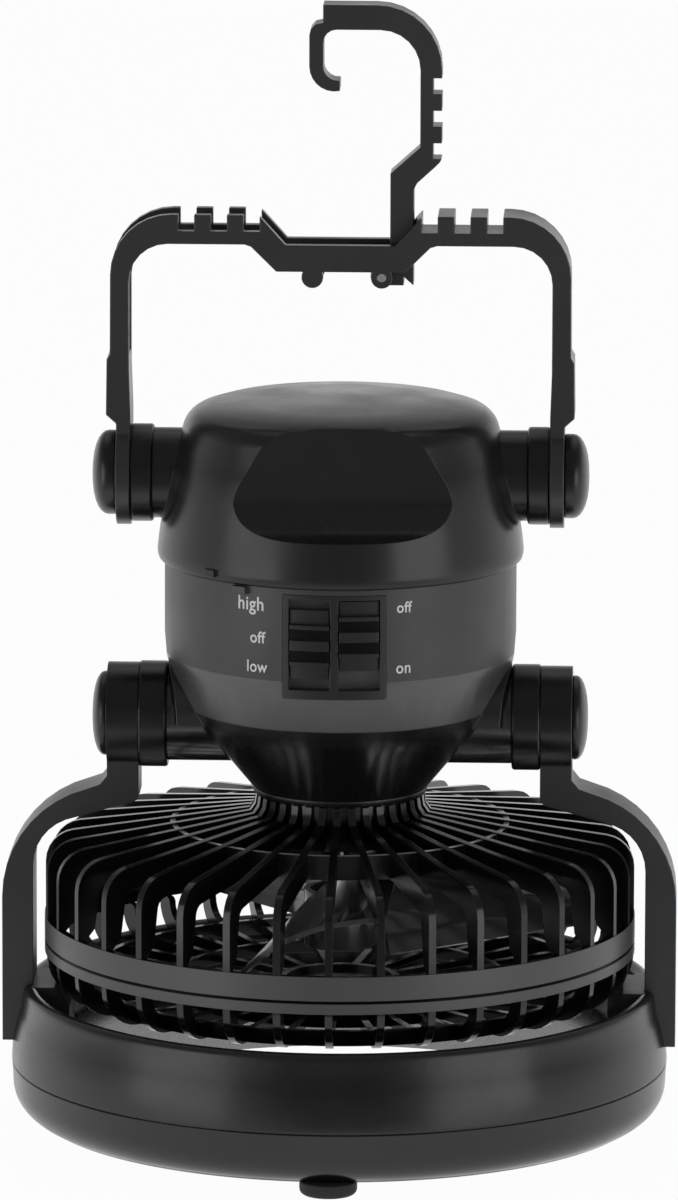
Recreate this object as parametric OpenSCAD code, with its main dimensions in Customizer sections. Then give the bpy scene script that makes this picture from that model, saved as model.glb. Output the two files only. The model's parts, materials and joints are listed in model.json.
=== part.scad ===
// Camping fan with a lamp ring. A fan head tilts between two arms that rise from a ring of
// lamps, a twist-off battery cap closes the head, and a bail handle on the cap carries a
// folding hook. Millimetres, +Z up, origin on the ring's axis at the level the feet rest on.
// Left and right are -X and +X, the switches face -Y.

/* [Fan cage] */
// Outer diameter of the cage at its band
cage_d = 165.4; // [140:0.2:200]
// Height of the underside of the cage above the feet
cage_z = 38.6; // [38:0.1:44]
// Height of the straight side of the cage, above the band
cage_wall_h = 13.6; // [10:0.2:26]
// Height of the band round the middle of the cage
cage_band_h = 10.5; // [6:0.5:12]
// Number of ribs round the cage
rib_count = 36; // [24:2:40]
// Thickness of a cage rib
rib_t = 2.1; // [1.4:0.1:2.6]
// Depth of a cage rib, measured square to the air gap
rib_depth = 6.6; // [5:0.2:8]

/* [Fan] */
// Gap between the blade tips and the ribs
tip_gap = 5; // [3:0.5:10]
// Number of fan blades
blade_count = 3; // [3:1:6]
// Width of a blade from its leading to its trailing edge
blade_chord = 46; // [30:1:52]
// Pitch of a blade at its root and at its tip
blade_pitch = [38, 22]; // [10:1:50]
// Diameter of the rotor's hub
hub_d = 20; // [16:0.5:26]
// Diameter of the motor shaft
shaft_d = 2; // [2:0.1:4]

/* [Arms] */
// Thickness of an arm
arm_t = 8.9; // [6:0.1:12]
// Depth of an arm from front to back
arm_w = 16; // [12:0.5:22]
// Gap between an arm and the cage
arm_gap = 2.7; // [2:0.1:6]
// How far the arms stand proud of the light ring
arm_proud = 2.3; // [1:0.1:4]
// Diameter of the round boss at the top of an arm
arm_boss_d = 28.8; // [26:0.5:36]

/* [Light ring] */
// Height of the ring's rim above the feet
ring_top = 40.6; // [38:0.1:41.2]
// Height of the seam between the two shells of the ring
ring_seam = 19.5; // [18:0.5:22]
// How far the ring's bore lies inside the cage's outline
bore_inset = 7.5; // [6:0.5:9]
// Diameter of a foot
foot_d = 15.9; // [12:0.1:17]
// Height of a foot
foot_h = 3.9; // [3:0.1:5]
// Number of lamps
lamp_count = 18; // [12:3:24]
// Diameter of a lamp
lamp_d = 5; // [3:0.5:5]

/* [Head] */
// Diameter of a battery cell
cell_d = 34.2; // [33:0.1:41]
// Length of a battery cell with its nub
cell_l = 61.5; // [55:0.5:74]
// Wall of the moulded shells
wall = 2.2; // [1.8:0.1:2.8]
// Room beside the cells, inside the shell
cell_room = 12.6; // [11:0.2:16]
// Diameter of the motor can
motor_d = 24.4; // [20:0.1:28]
// Diameter of the side stubs
stub_d = 26; // [20:0.5:30]

/* [Pivots] */
// Diameter of a domed pivot cover
cover_d = 23.5; // [20:0.1:28]
// Diameter of the pivot screws
pivot_d = 6; // [5:0.1:8]
// Radial clearance of a part that turns on a pin
pin_fit = 0.1; // [0.05:0.01:0.1]
// Clearance round a part that slides or turns in another
slide_fit = 0.3; // [0.2:0.05:0.5]

/* [Switches] */
// Size of the switch panel across and up
panel_size = [28.4, 29.2]; // [24:0.2:36]
// Size of a switch slot across and up
slot_size = [11.4, 25.2]; // [8:0.2:28]
// Distance between the two switch slots
slot_pitch = 13.7; // [12.5:0.1:16]
// Height of a switch slider
slider_h = 19.5; // [16:0.1:19.5]

/* [Handle] */
// Distance from the handle's pivots up to the underside of its grips
grip_reach = 65.6; // [60:0.1:84]
// Height of a grip
grip_h = 8.2; // [7:0.1:11]
// Depth of the handle from front to back
handle_w = 16; // [13:0.5:20]
// Thickness of the hook from front to back
hook_w = 9; // [6:0.5:9.5]
// Distance between two finger notches
notch_pitch = 9.05; // [8:0.1:10]
// Width of a finger notch
notch_w = 4.4; // [3:0.1:5]
// Depth of a finger notch
notch_deep = 4.6; // [3:0.1:5]

/* [Hidden] */
$fn = 96;
FINE = 64;
EPS = 0.05;

black = [0.10, 0.10, 0.10];
dark = [0.16, 0.16, 0.16];
steel = [0.72, 0.72, 0.74];

// Cage: heights from its underside up, and radii
cage_r = cage_d / 2;
rib_r = cage_r - 0.25;
cage_bowl_h = 11.9;
cage_dome_h = 16;
band_z = cage_z + cage_bowl_h;
band_top = band_z + cage_band_h;
band_seam = band_z + 3.3;
shoulder_z = band_top + cage_wall_h;
cage_top = shoulder_z + cage_dome_h;
shoulder_r = 9;
bowl_r = 11;
neck_r = 24;
neck_h = 5;
hoop_r = 46.7;
hoop_t = 1.6;
band_t = 2.1;

// Head: heights above the cage
housing_z = cage_top + neck_h;
pivot_z = housing_z + 21.3;
shell_z = pivot_z + 4;
taper_z = shell_z + 12.6;
body_r = cell_d + cell_room + wall;
shell_low_r = body_r - 5.8;
tray_z = taper_z + 0.5;
contact_h = 2.5;
tray_t = 2.2;
cell_z = tray_z + tray_t + contact_h;
cell_top = cell_z + cell_l;
strip_t = 0.6;
strip_post = 3.3;
cap_ceiling = cell_top + strip_t + strip_post;
cap_top = cap_ceiling + wall;
seam_z = cap_top - 44.3;
cap_pivot_z = cap_top - 20.9;

// Light ring
ring_r = cage_r + arm_gap + arm_t - arm_proud;
bore_r = cage_r - bore_inset;
arm_in = cage_r + arm_gap + 0.2;
arm_out = ring_r + arm_proud;
web_z = foot_h + 9.7;
web_t = 2;
board_t = 1.6;
lens_t = 2;
lamp_r = bore_r + 6;
foot_r = bore_r + 6.3;
lens_in = bore_r + wall + 0.1;
lens_out = bore_r + 9.4;
foot_angles = [30, 150, 270];
ring_screw_r = ring_r - 6.5;
ring_screw_angles = [14, 50, 130, 166, 194, 230, 310, 346];
arm_notch_z = ring_seam + 5;
root_z = ring_seam + 3.5;
root_w = 24;
screw_d = 2.6;

// Pivots: distances from the middle plane along X
collar_x = body_r - 1;
collar_t = 8;
boss_x = collar_x + collar_t;
boss_out = boss_x + arm_t;
cover_t = 4.3;
pivot_head_d = 11;
pivot_head_t = 2.2;
pivot_seat = 3.4;
upper_collar_x = boss_x - 4;
upper_collar_t = 6.2;
handle_x = upper_collar_x + upper_collar_t;
handle_plate_t = 4;
handle_out = handle_x + handle_plate_t;
upper_cover_t = 6.9;
upper_screw_d = 5;
upper_head_d = 9.2;
upper_head_t = 2.4;
cap_boss_d = 25.2;

// Handle and hook, in the plane of the handle
grip_z = cap_pivot_z + grip_reach;
grip_top = grip_z + grip_h;
leg_in = handle_x + 0.4;
leg_out = leg_in + 5.2;
corner_in = 10.7;
bar_drop = 7.5;
bar_x = 17.8;
jog_x = 25.8;
bar_top = grip_top - 8.3;
hook_pin = [11.4, grip_z - 9];
hook_pin_d = 2.4;
slot_w = hook_w + 2 * slide_fit;
notch_first = 24.6;

// Switches: front of the head
panel_z = seam_z - 1.6 - panel_size[1];
slot_z = panel_z + 2.6;
face_r = body_r;
slider_travel = slot_size[1] - slider_h - 2 * slide_fit;

function arc(c, r, from, to, steps) = [
  for (i = [0 : steps])
    let (a = from + (to - from) * i / steps)
      [c[0] + r * cos(a), c[1] + r * sin(a)]
];

function flip(points) = [for (p = points) [-p[0], p[1]]];

module revolve(points) {
  rotate_extrude() polygon(points);
}

// A solid of revolution about an axis along X, from points of (distance along X, radius)
module turned(points) {
  rotate([0, 90, 0])
    rotate_extrude() polygon([for (p = points) [p[1], p[0]]]);
}

module rod_x(r, x0, x1, z) {
  translate([x0, 0, z])
    rotate([0, 90, 0])
      cylinder(r = r, h = x1 - x0, $fn = FINE);
}

module tube(r_out, r_in, z0, z1) {
  translate([0, 0, z0])
    difference() {
      cylinder(r = r_out, h = z1 - z0);
      translate([0, 0, -1]) cylinder(r = r_in, h = z1 - z0 + 2);
    }
}

// An outline in the XZ plane given a depth along Y, centred
module slab(points, depth) {
  rotate([90, 0, 0])
    translate([0, 0, -depth / 2])
      linear_extrude(depth) polygon(points);
}

module box(x, y, z) {
  translate([x[0], y[0], z[0]])
    cube([x[1] - x[0], y[1] - y[0], z[1] - z[0]]);
}

// ---- Light ring ----

// Section of the ring's upper shell: outer side, rolled rim, funnel down to the bore
module ring_upper_section() {
  rim = [ring_r - 5.4, ring_top - 2.2];
  polygon(concat(
    [
      [ring_r, ring_seam],
      [ring_r - 0.3, ring_seam + 5],
      [ring_r - 1.1, ring_seam + 9],
      [ring_r - 1.8, ring_seam + 12],
      [ring_r - 2.6, ring_top - 7]
    ],
    arc(rim, 2.2, 12, 168, 8),
    [
      [lens_out - 0.8, ring_top - 6.5],
      [bore_r + 4.2, ring_top - 10],
      [bore_r + 1.2, ring_top - 12],
      [bore_r, ring_top - 14],
      [bore_r, ring_seam],
      [bore_r + wall, ring_seam],
      [bore_r + wall, ring_top - 14.7],
      [bore_r + 5, ring_top - 12.4],
      [lens_out, ring_top - 9.2],
      [ring_r - 5.2, ring_top - 5.6],
      [ring_r - 2 - wall, ring_top - 11],
      [ring_r - 0.3 - wall, ring_seam + 5],
      [ring_r - wall, ring_seam]
    ]
  ));
}

// The space that an arm's root takes up in the ring, on the +X side
module arm_root_space() {
  box([bore_r - 3, arm_in + EPS], [-root_w / 2, root_w / 2], [root_z, ring_top + 5]);
  box([arm_in - 1, arm_out + 5], [-arm_w / 2, arm_w / 2], [arm_notch_z, ring_top + 5]);
  box([arm_in - 1, ring_r - wall - 0.6], [-arm_w / 2, arm_w / 2], [root_z, arm_notch_z + 1]);
}

module arm_screw_places() {
  for (side = [-1, 1], y = [-7, 7])
    translate([side * (bore_r + 6), y, 0]) children();
}

module ring_screw_places() {
  for (a = ring_screw_angles)
    rotate(a) translate([ring_screw_r, 0, 0]) children();
}

module ring_upper_shell() {
  pad_z = root_z - 3;
  color(black)
    difference() {
      union() {
        rotate_extrude() ring_upper_section();
        intersection() {
          tube(ring_r - wall + 0.4, bore_r + wall - 0.4, pad_z, root_z);
          for (side = [0, 180])
            rotate(side)
              box([bore_r - 4, ring_r], [-root_w / 2, root_w / 2], [pad_z, root_z]);
        }
        ring_screw_places()
          translate([0, 0, web_z + web_t])
            cylinder(d = 5.4, h = ring_top - 8.2 - web_z - web_t, $fn = 32);
      }
      for (side = [0, 180]) rotate(side) arm_root_space();
      ring_screw_places()
        translate([0, 0, web_z]) cylinder(d = screw_d + 2 * EPS, h = 12, $fn = 32);
      arm_screw_places()
        translate([0, 0, pad_z - 1]) cylinder(d = screw_d + 2 * pin_fit, h = 5, $fn = 32);
    }
}

// Section of the lower shell: rounded outer wall with a tongue, bore wall, and the web
module ring_lower_section() {
  round_c = [ring_r - 9.7, foot_h + 9.3];
  tongue = ring_r - wall - 1.4;
  polygon(concat(
    [[ring_r - 0.5, ring_seam], [ring_r - 0.5, ring_seam - 0.6], [ring_r - 0.1, ring_seam - 0.9],
     [ring_r - 0.3, ring_seam - 4]],
    arc(round_c, 9.3, 0, -72, 9),
    [[lens_out + 0.1, foot_h], [lens_out + 0.1, foot_h + lens_t + 0.3]],
    arc(round_c, 9.3 - wall, -66, 0, 6),
    [
      [ring_r - wall - 0.3, web_z],
      [bore_r + wall, web_z], [bore_r + wall, foot_h], [bore_r, foot_h],
      [bore_r, ring_seam], [bore_r + wall, ring_seam], [bore_r + wall, web_z + web_t],
      [tongue, web_z + web_t], [tongue, ring_seam + 1.6],
      [ring_r - wall - 0.3, ring_seam + 1.6], [ring_r - wall - 0.3, ring_seam]
    ]
  ));
}

module ring_lower_shell() {
  color(black)
    difference() {
      rotate_extrude() ring_lower_section();
      ring_screw_places()
        translate([0, 0, web_z - 1]) cylinder(d = screw_d + 2 * EPS, h = 4, $fn = 32);
      arm_screw_places()
        translate([0, 0, web_z - 1]) cylinder(d = 6, h = 4, $fn = 32);
      for (side = [0, 180])
        rotate(side)
          box([arm_in, ring_r - wall + 0.1], [-root_w / 2 - 1, root_w / 2 + 1],
              [ring_seam + EPS, ring_seam + 3]);
    }
}

module screw_up(d, head_d, head_t, length) {
  translate([0, 0, -head_t]) cylinder(d = head_d, h = head_t, $fn = 32);
  cylinder(d = d, h = length, $fn = 32);
}

module ring_screws() {
  color(steel)
    ring_screw_places()
      translate([0, 0, web_z]) screw_up(screw_d, 4.2, 1.5, 11);
}

module lamp_places() {
  for (i = [0 : lamp_count - 1])
    rotate(i * 360 / lamp_count) translate([lamp_r, 0, 0]) children();
}

module foot_places() {
  for (a = foot_angles) rotate(a) translate([foot_r, 0, 0]) children();
}

module lamp_board() {
  color([0.85, 0.88, 0.82])
    difference() {
      tube(lens_out, lens_in, web_z - board_t, web_z);
      foot_places()
        translate([0, 0, web_z - 4]) cylinder(d = 4.2, h = 6, $fn = 32);
      ring_screw_places()
        translate([0, 0, web_z - 4]) cylinder(d = 5, h = 6, $fn = 32);
    }
}

module lamps() {
  color([0.95, 0.95, 0.9])
    lamp_places()
      translate([0, 0, foot_h + lens_t + 3.2]) {
        cylinder(d = lamp_d, h = web_z - board_t - foot_h - lens_t - 3.2, $fn = 32);
        sphere(d = lamp_d, $fn = 32);
      }
}

module lamp_reflector() {
  z0 = foot_h + lens_t;
  mid = z0 + 3.6;
  color([0.9, 0.9, 0.92])
    difference() {
      revolve([
        [lens_in, z0], [lens_in + 1, z0], [lens_in + 2, mid], [lens_out - 1.4, mid],
        [lens_out - 0.8, z0], [lens_out - 0.1, z0], [lens_out - 0.1, mid + 1],
        [lens_in, mid + 1]
      ]);
      lamp_places()
        translate([0, 0, z0 - 1]) cylinder(d = lamp_d + 2 * EPS, h = 8, $fn = 32);
      foot_places()
        translate([0, 0, z0 - 1]) cylinder(d = 4.2, h = 8, $fn = 32);
    }
}

module lamp_lens() {
  color([0.9, 0.93, 0.95, 0.5])
    difference() {
      tube(lens_out, lens_in, foot_h, foot_h + lens_t);
      foot_places()
        translate([0, 0, foot_h - 1]) cylinder(d = 4.2, h = 4, $fn = 32);
    }
}

module feet() {
  r = foot_d / 2;
  color(dark)
    foot_places()
      revolve(concat(
        [[0, 0]],
        arc([r - 1.6, 1.6], 1.6, -90, 0, 4),
        [[r, foot_h], [1.9, foot_h], [1.9, web_z], [0, web_z]]
      ));
}

// ---- Arms ----

// Outline of the right arm: straight leg, bend over the cage's shoulder, upright to the boss
function arm_outline() =
  let (
    c_out = [arm_out - 32, pivot_z - 51.1],
    c_in = [arm_in - 14, pivot_z - 42.2]
  )
  concat(
    [[arm_in, arm_notch_z], [arm_out, arm_notch_z]],
    arc(c_out, 32, 0, 75, 9),
    [[boss_out + 2, pivot_z - 18.9], [boss_out, pivot_z - 16.4], [boss_out, pivot_z]],
    [[boss_x, pivot_z], [boss_x, pivot_z - 22.6], [boss_x + 1.2, pivot_z - 23.6]],
    arc(c_in, 14, 70, 0, 6)
  );

// Outline of the arm's root inside the ring, sloped on top so that the cage can turn past it
function arm_root_outline() = [
  [bore_r, root_z], [ring_r - wall - 0.6, root_z], [ring_r - wall - 0.6, arm_notch_z],
  [arm_in + 1, arm_notch_z], [arm_in + 1, ring_top], [bore_r + 4.3, ring_top],
  [bore_r, ring_top - 5.2]
];

module arm(side) {
  points = side > 0 ? arm_outline() : flip(arm_outline());
  root = side > 0 ? arm_root_outline() : flip(arm_root_outline());
  core = [
    [arm_in, root_z], [ring_r - wall - 0.6, root_z],
    [ring_r - wall - 0.6, arm_notch_z + 1], [arm_in, arm_notch_z + 1]
  ];
  color(black)
    difference() {
      union() {
        slab(points, arm_w);
        slab(side > 0 ? core : flip(core), arm_w);
        intersection() {
          slab(root, root_w);
          box([-arm_in, arm_in], [-root_w, root_w], [0, ring_top + 1]);
        }
        rod_x(arm_boss_d / 2, side > 0 ? boss_x : -boss_out,
              side > 0 ? boss_out : -boss_x, pivot_z);
      }
      rod_x(pivot_d / 2 + pin_fit, -boss_out - 1, boss_out + 1, pivot_z);
      for (s = [-1, 1])
        rod_x(6.2, s > 0 ? boss_out - pivot_seat : -boss_out - 1,
              s > 0 ? boss_out + 1 : -boss_out + pivot_seat, pivot_z);
      arm_screw_places()
        translate([0, 0, root_z - 1]) cylinder(d = screw_d + 2 * EPS, h = 9, $fn = 32);
    }
}

module arm_left() { arm(-1); }
module arm_right() { arm(1); }

module arm_screws() {
  color(steel)
    arm_screw_places()
      translate([0, 0, root_z - 3]) screw_up(screw_d, 5, 1.8, 10);
}

// ---- Pivots ----

module side_of(side) {
  if (side > 0) children();
  else mirror([1, 0, 0]) children();
}

// Outline of a domed face that rises by h from the edge of a disc of radius r
function dome(x, h, r) = concat(
  [for (a = [0 : 13 : 78]) [x + h * sin(a), r * pow(cos(a), 0.8)]],
  [[x + h, 0.7], [x + h, 0]]
);

module lower_pivot_cover(side) {
  r = cover_d / 2;
  color(black)
    side_of(side)
      translate([0, 0, pivot_z])
        turned(concat(
          [[boss_out - 0.9, 0], [boss_out - 0.9, 6], [boss_out, 6], [boss_out, r]],
          dome(boss_out + 1, cover_t - 1, r)
        ));
}

module lower_pivot_cover_left() { lower_pivot_cover(-1); }
module lower_pivot_cover_right() { lower_pivot_cover(1); }

module lower_pivot_screw(side) {
  seat = boss_out - pivot_seat;
  color(steel)
    side_of(side) {
      rod_x(pivot_d / 2, collar_x - 8, seat + 0.1, pivot_z);
      rod_x(pivot_head_d / 2, seat, seat + pivot_head_t, pivot_z);
    }
}

module lower_pivot_screw_left() { lower_pivot_screw(-1); }
module lower_pivot_screw_right() { lower_pivot_screw(1); }

// A collar ring between a stub and an arm, eased at both edges
module collar(x0, t, r, bore, z) {
  translate([0, 0, z])
    turned([
      [x0, bore], [x0, r - 0.5], [x0 + 0.5, r], [x0 + t - 0.4, r], [x0 + t, r - 0.4],
      [x0 + t, bore]
    ]);
}

module lower_collar(side) {
  color(black)
    side_of(side)
      collar(collar_x, collar_t, arm_boss_d / 2 + 0.4, pivot_d / 2 + EPS, pivot_z);
}

module lower_collar_left() { lower_collar(-1); }
module lower_collar_right() { lower_collar(1); }

// ---- Head ----

ear_r = 16.9;
ear_face = collar_x;

// The two lugs of the motor housing that rise over the taper, round the pivots
module ears(grow) {
  for (side = [0, 180])
    rotate(side)
      intersection() {
        rod_x(ear_r + grow, 30, body_r + 2, pivot_z);
        box([30, body_r + 3], [-ear_r - 1, ear_r + 1], [pivot_z, pivot_z + ear_r + 1]);
        tube(ear_face + grow, shell_low_r - wall - 1 - grow, pivot_z - 1,
             pivot_z + ear_r + 1);
      }
}

function housing_outside() = [
  [neck_r, housing_z], [neck_r + 0.4, housing_z + 0.6], [neck_r + 0.4, housing_z + 1.6],
  [neck_r + 1, housing_z + 2.4], [neck_r + 6.3, housing_z + 8.8],
  [shell_low_r - 2.8, shell_z - 5], [shell_low_r, shell_z]
];

function housing_inside() = [
  [neck_r - 3, housing_z + 3], [neck_r + 3.4, housing_z + 9.4],
  [shell_low_r - 5.6, shell_z - 5], [shell_low_r - 2.6, shell_z], [shell_low_r - 2.6, shell_z + 1]
];

module cage_screw_places() {
  for (a = [30, 150, 270]) rotate(a) translate([neck_r - 6, 0, 0]) children();
}

module motor_housing() {
  color(black)
    difference() {
      union() {
        revolve(concat([[0, housing_z]], housing_outside(), [[0, shell_z]]));
        ears(0);
        for (side = [0, 180])
          rotate(side) rod_x(stub_d / 2, 30, collar_x, pivot_z);
      }
      revolve(concat([[0, housing_z + 3]], housing_inside(), [[0, shell_z + 1]]));
      translate([0, 0, shell_z]) cylinder(r = shell_low_r - wall - 0.6, h = 30);
      translate([0, 0, housing_z - 1]) cylinder(d = 7, h = 6, $fn = 32);
      rod_x(pivot_d / 2 + EPS, collar_x - 9, collar_x + 1, pivot_z);
      rod_x(pivot_d / 2 + EPS, -collar_x - 1, -collar_x + 9, pivot_z);
      cage_screw_places()
        translate([0, 0, housing_z - 1]) cylinder(d = screw_d + 2 * EPS, h = 6, $fn = 32);
    }
}

// Section of the shell wall between the housing and the cap, with the neck the cap turns on
module shell_section() {
  polygon([
    [shell_low_r, shell_z], [body_r - 0.9, taper_z - 0.4], [body_r - 0.5, taper_z + 1.4],
    [body_r, taper_z + 8], [body_r, seam_z],
    [body_r - 2.3, seam_z], [body_r - 2.3, seam_z + 6], [body_r - 4.4, seam_z + 6],
    [body_r - 4.4, seam_z - 2], [body_r - wall, seam_z - 4],
    [body_r - wall, taper_z + 1.4], [shell_low_r - wall, shell_z]
  ]);
}

// Half angle of the front shell
front_half_angle = 70;

module wedge(from, to) {
  reach = 3 * body_r;
  rotate_extrude(start = from, angle = to - from)
    translate([0, shell_z - 5]) square([reach, cap_top]);
}

module panel_window(grow) {
  x = panel_size[0] / 2 + grow;
  box([-x, x], [-body_r - 5, -body_r + 8], [panel_z - grow, panel_z + panel_size[1] + grow]);
}

module body_screw_places() {
  for (s = [-1, 1], z = [taper_z + 9, seam_z - 5])
    translate([s * (body_r - 7.5), -13, z]) rotate([90, 0, 0]) children();
}

// A screw post along Y, cut back to the shell that carries it
module body_posts(y0, y1) {
  intersection() {
    body_screw_places()
      translate([0, 0, -y1 - 13]) cylinder(d = 6, h = y1 - y0, $fn = 32);
    cylinder(r = body_r - 0.6, h = 400);
  }
}

module body_front_shell() {
  mid = 270;
  color(dark)
    difference() {
      union() {
        intersection() {
          rotate_extrude() shell_section();
          wedge(mid - front_half_angle, mid + front_half_angle);
        }
        cap_pip();
      }
      ears(EPS);
      panel_window(EPS);
    }
}

// The raised pip that shows where the cap locks
module cap_pip() {
  intersection() {
    tube(body_r + 1.6, body_r - 1, seam_z - 2.4, seam_z - slide_fit);
    rotate(238.2) box([0, body_r + 3], [-2.2, 2.2], [seam_z - 3, seam_z]);
  }
}

module body_back_shell() {
  color(dark)
    difference() {
      intersection() {
        rotate_extrude() shell_section();
        wedge(270 + front_half_angle, 630 - front_half_angle);
      }
      ears(EPS);
    }
}

// ---- Switches ----

module front_sector(r_out, r_in, x, z) {
  intersection() {
    tube(r_out, r_in, z[0], z[1]);
    box([x[0], x[1]], [-r_out - 1, 0], [z[0] - 1, z[1] + 1]);
  }
}

function slot_x(side) = side * slot_pitch / 2;

module switch_panel() {
  x = panel_size[0] / 2;
  color([0.13, 0.13, 0.13])
    difference() {
      front_sector(face_r, face_r - 3.2, [-x, x], [panel_z, panel_z + panel_size[1]]);
      for (side = [-1, 1])
        box([slot_x(side) - slot_size[0] / 2, slot_x(side) + slot_size[0] / 2],
            [-body_r - 5, 0], [slot_z, slot_z + slot_size[1]]);
    }
}

// A slider: a curved plate with a ribbed grip, and a stem that works the switch behind
function slider_section(z0) =
  let (
    back = face_r - 3.2,
    plate = face_r - 0.9,
    grip = face_r + 0.2,
    rib = face_r + 1,
    g0 = z0 + 4,
    g1 = z0 + slider_h - 4,
    mid = z0 + slider_h / 2
  )
  [
    [back, z0], [plate, z0], [plate, g0], [rib, g0], [rib, g0 + 1.2], [grip, g0 + 1.4],
    [grip, mid - 1.6], [rib, mid - 1.4], [rib, mid + 1.4], [grip, mid + 1.6],
    [grip, g1 - 1.4], [rib, g1 - 1.2], [rib, g1], [plate, g1],
    [plate, z0 + slider_h], [back, z0 + slider_h]
  ];

module slider(side, z0) {
  x = slot_x(side);
  half = slot_size[0] / 2 - slide_fit;
  mid = z0 + slider_h / 2;
  color([0.11, 0.11, 0.11]) {
    intersection() {
      rotate_extrude(start = 240, angle = 60) polygon(slider_section(z0));
      box([x - half, x + half], [-body_r - 5, -body_r / 2], [z0 - 1, z0 + slider_h + 1]);
    }
    box([x - 1.6, x + 1.6], [-face_r + 2.5, -face_r + 8], [mid - 2.5, mid + 2.5]);
  }
}

fan_slider_z = slot_z + slide_fit + slider_travel / 2;
light_slider_z = slot_z + slide_fit + slider_travel;

module fan_switch_slider() { slider(-1, fan_slider_z); }
module light_switch_slider() { slider(1, light_slider_z); }

module switch_body(side) {
  x = slot_x(side);
  color([0.3, 0.3, 0.32])
    difference() {
      box([x - 6.2, x + 6.2], [-face_r + 5.7, -face_r + 14],
          [slot_z - 1, slot_z + slot_size[1] + 1]);
      box([x - 2.2, x + 2.2], [-face_r + 3, -face_r + 10],
          [slot_z + 5, slot_z + slot_size[1] - 5]);
    }
}

module fan_switch_body() { switch_body(-1); }
module light_switch_body() { switch_body(1); }

module body_screws() {
  color(steel)
    for (side = [-1, 1], x = [-1, 1])
      translate([slot_x(side), -face_r + 14, slot_z + slot_size[1] / 2 + x * 9])
        rotate([-90, 0, 0]) cylinder(d = 4.4, h = 1.6, $fn = 32);
}

// ---- Battery compartment ----

cell_x = cell_d / 2 + 0.5;

module battery_tray() {
  tube_r = cell_d / 2 + 0.4;
  rim_r = body_r - wall - 0.6;
  color(dark)
    difference() {
      union() {
        translate([0, 0, tray_z]) cylinder(r = rim_r, h = tray_t);
        for (side = [-1, 1])
          translate([side * cell_x, 0, tray_z]) cylinder(r = tube_r + 1.4, h = 30);
      }
      for (side = [-1, 1])
        translate([side * cell_x, 0, tray_z + tray_t]) cylinder(r = tube_r, h = 40);
      for (side = [-1, 1])
        translate([side * cell_x, 0, tray_z - 1]) cylinder(d = 4, h = 6, $fn = 32);
      box([-slot_pitch - 2, slot_pitch + 2], [-body_r, -face_r + 15.8],
          [tray_z - 1, tray_z + tray_t + 1]);
    }
}

module battery_springs() {
  color(steel)
    for (side = [-1, 1])
      translate([side * cell_x, 0, tray_z + tray_t])
        revolve([
          [0, 0], [8, 0], [8, 0.6], [5, 1.5], [4, contact_h], [0, contact_h]
        ]);
}

module battery_cell(side, nub_up) {
  r = cell_d / 2;
  nub_h = 1.5;
  body_z = nub_up ? cell_z : cell_z + nub_h;
  top = body_z + cell_l - nub_h;
  color([0.45, 0.4, 0.3])
    translate([side * cell_x, 0, 0]) {
      revolve([
        [0, body_z], [r - 0.8, body_z], [r, body_z + 0.8], [r, top - 0.8],
        [r - 0.8, top], [0, top]
      ]);
      translate([0, 0, nub_up ? top : cell_z]) cylinder(r = 4.75, h = nub_h, $fn = 32);
    }
}

module battery_cell_left() { battery_cell(-1, true); }
module battery_cell_right() { battery_cell(1, false); }

// ---- Motor and rotor ----

motor_z = housing_z + 3;
motor_h = 27;

module motor() {
  r = motor_d / 2;
  bore = shaft_d / 2 + pin_fit;
  color(steel)
    difference() {
      union() {
        revolve([
          [0, motor_z], [r - 1, motor_z], [r, motor_z + 1], [r, motor_z + motor_h - 3],
          [r - 1, motor_z + motor_h - 2], [5, motor_z + motor_h - 2],
          [5, motor_z + motor_h], [0, motor_z + motor_h]
        ]);
        translate([0, 0, motor_z - 1.8]) cylinder(r = 3, h = 2.8, $fn = 32);
      }
      translate([0, 0, motor_z - 3]) cylinder(r = bore, h = motor_h + 1, $fn = 32);
    }
}

// A ring that clamps the motor down in the housing
module motor_bracket() {
  r = motor_d / 2;
  z0 = motor_z + 10;
  rise = (z0 + 2 - housing_z - 9.4) / (shell_z - housing_z - 14.4);
  edge = neck_r + 3.4 + (shell_low_r - 9 - neck_r) * rise - 0.05;
  color(dark)
    difference() {
      union() {
        tube(r + 2.4, r + EPS, z0, z0 + 10);
        tube(edge, r + 1, z0 + 2, z0 + 4.5);
      }
      for (a = [45 : 90 : 315])
        rotate(a)
          translate([r + 7, 0, z0]) cylinder(d = 5, h = 8, $fn = 32);
    }
}

rotor_top = cage_top - 23;
rotor_z = band_z + 1;

module motor_shaft() {
  color(steel)
    translate([0, 0, rotor_z + 2])
      cylinder(d = shaft_d, h = motor_z + motor_h - 3 - rotor_z - 2, $fn = 32);
}

// Section of a blade: a thin cambered plate, drawn across the blade's length
function blade_section() =
  let (
    half = blade_chord / 2,
    sag = blade_chord * 0.12,
    r = (half * half + sag * sag) / (2 * sag),
    a = asin(half / r),
    c = [0, sag - r]
  )
  concat(arc(c, r, 90 - a, 90 + a, 8), arc(c, r - 1.4, 90 + a, 90 - a, 8));

module blade() {
  tip_r = cage_r - rib_depth - tip_gap;
  root_r = hub_d / 2 - 2.4;
  mid_z = rotor_top - 2;
  intersection() {
    translate([root_r, 0, mid_z])
      rotate([0, 90, 0])
        rotate(90 - blade_pitch[0])
          linear_extrude(tip_r - root_r + 4, twist = blade_pitch[1] - blade_pitch[0], slices = 7)
            polygon(blade_section());
    tube(tip_r, hub_d / 2 - 1.2, rotor_z - 12, rotor_top + 12);
  }
}

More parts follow.
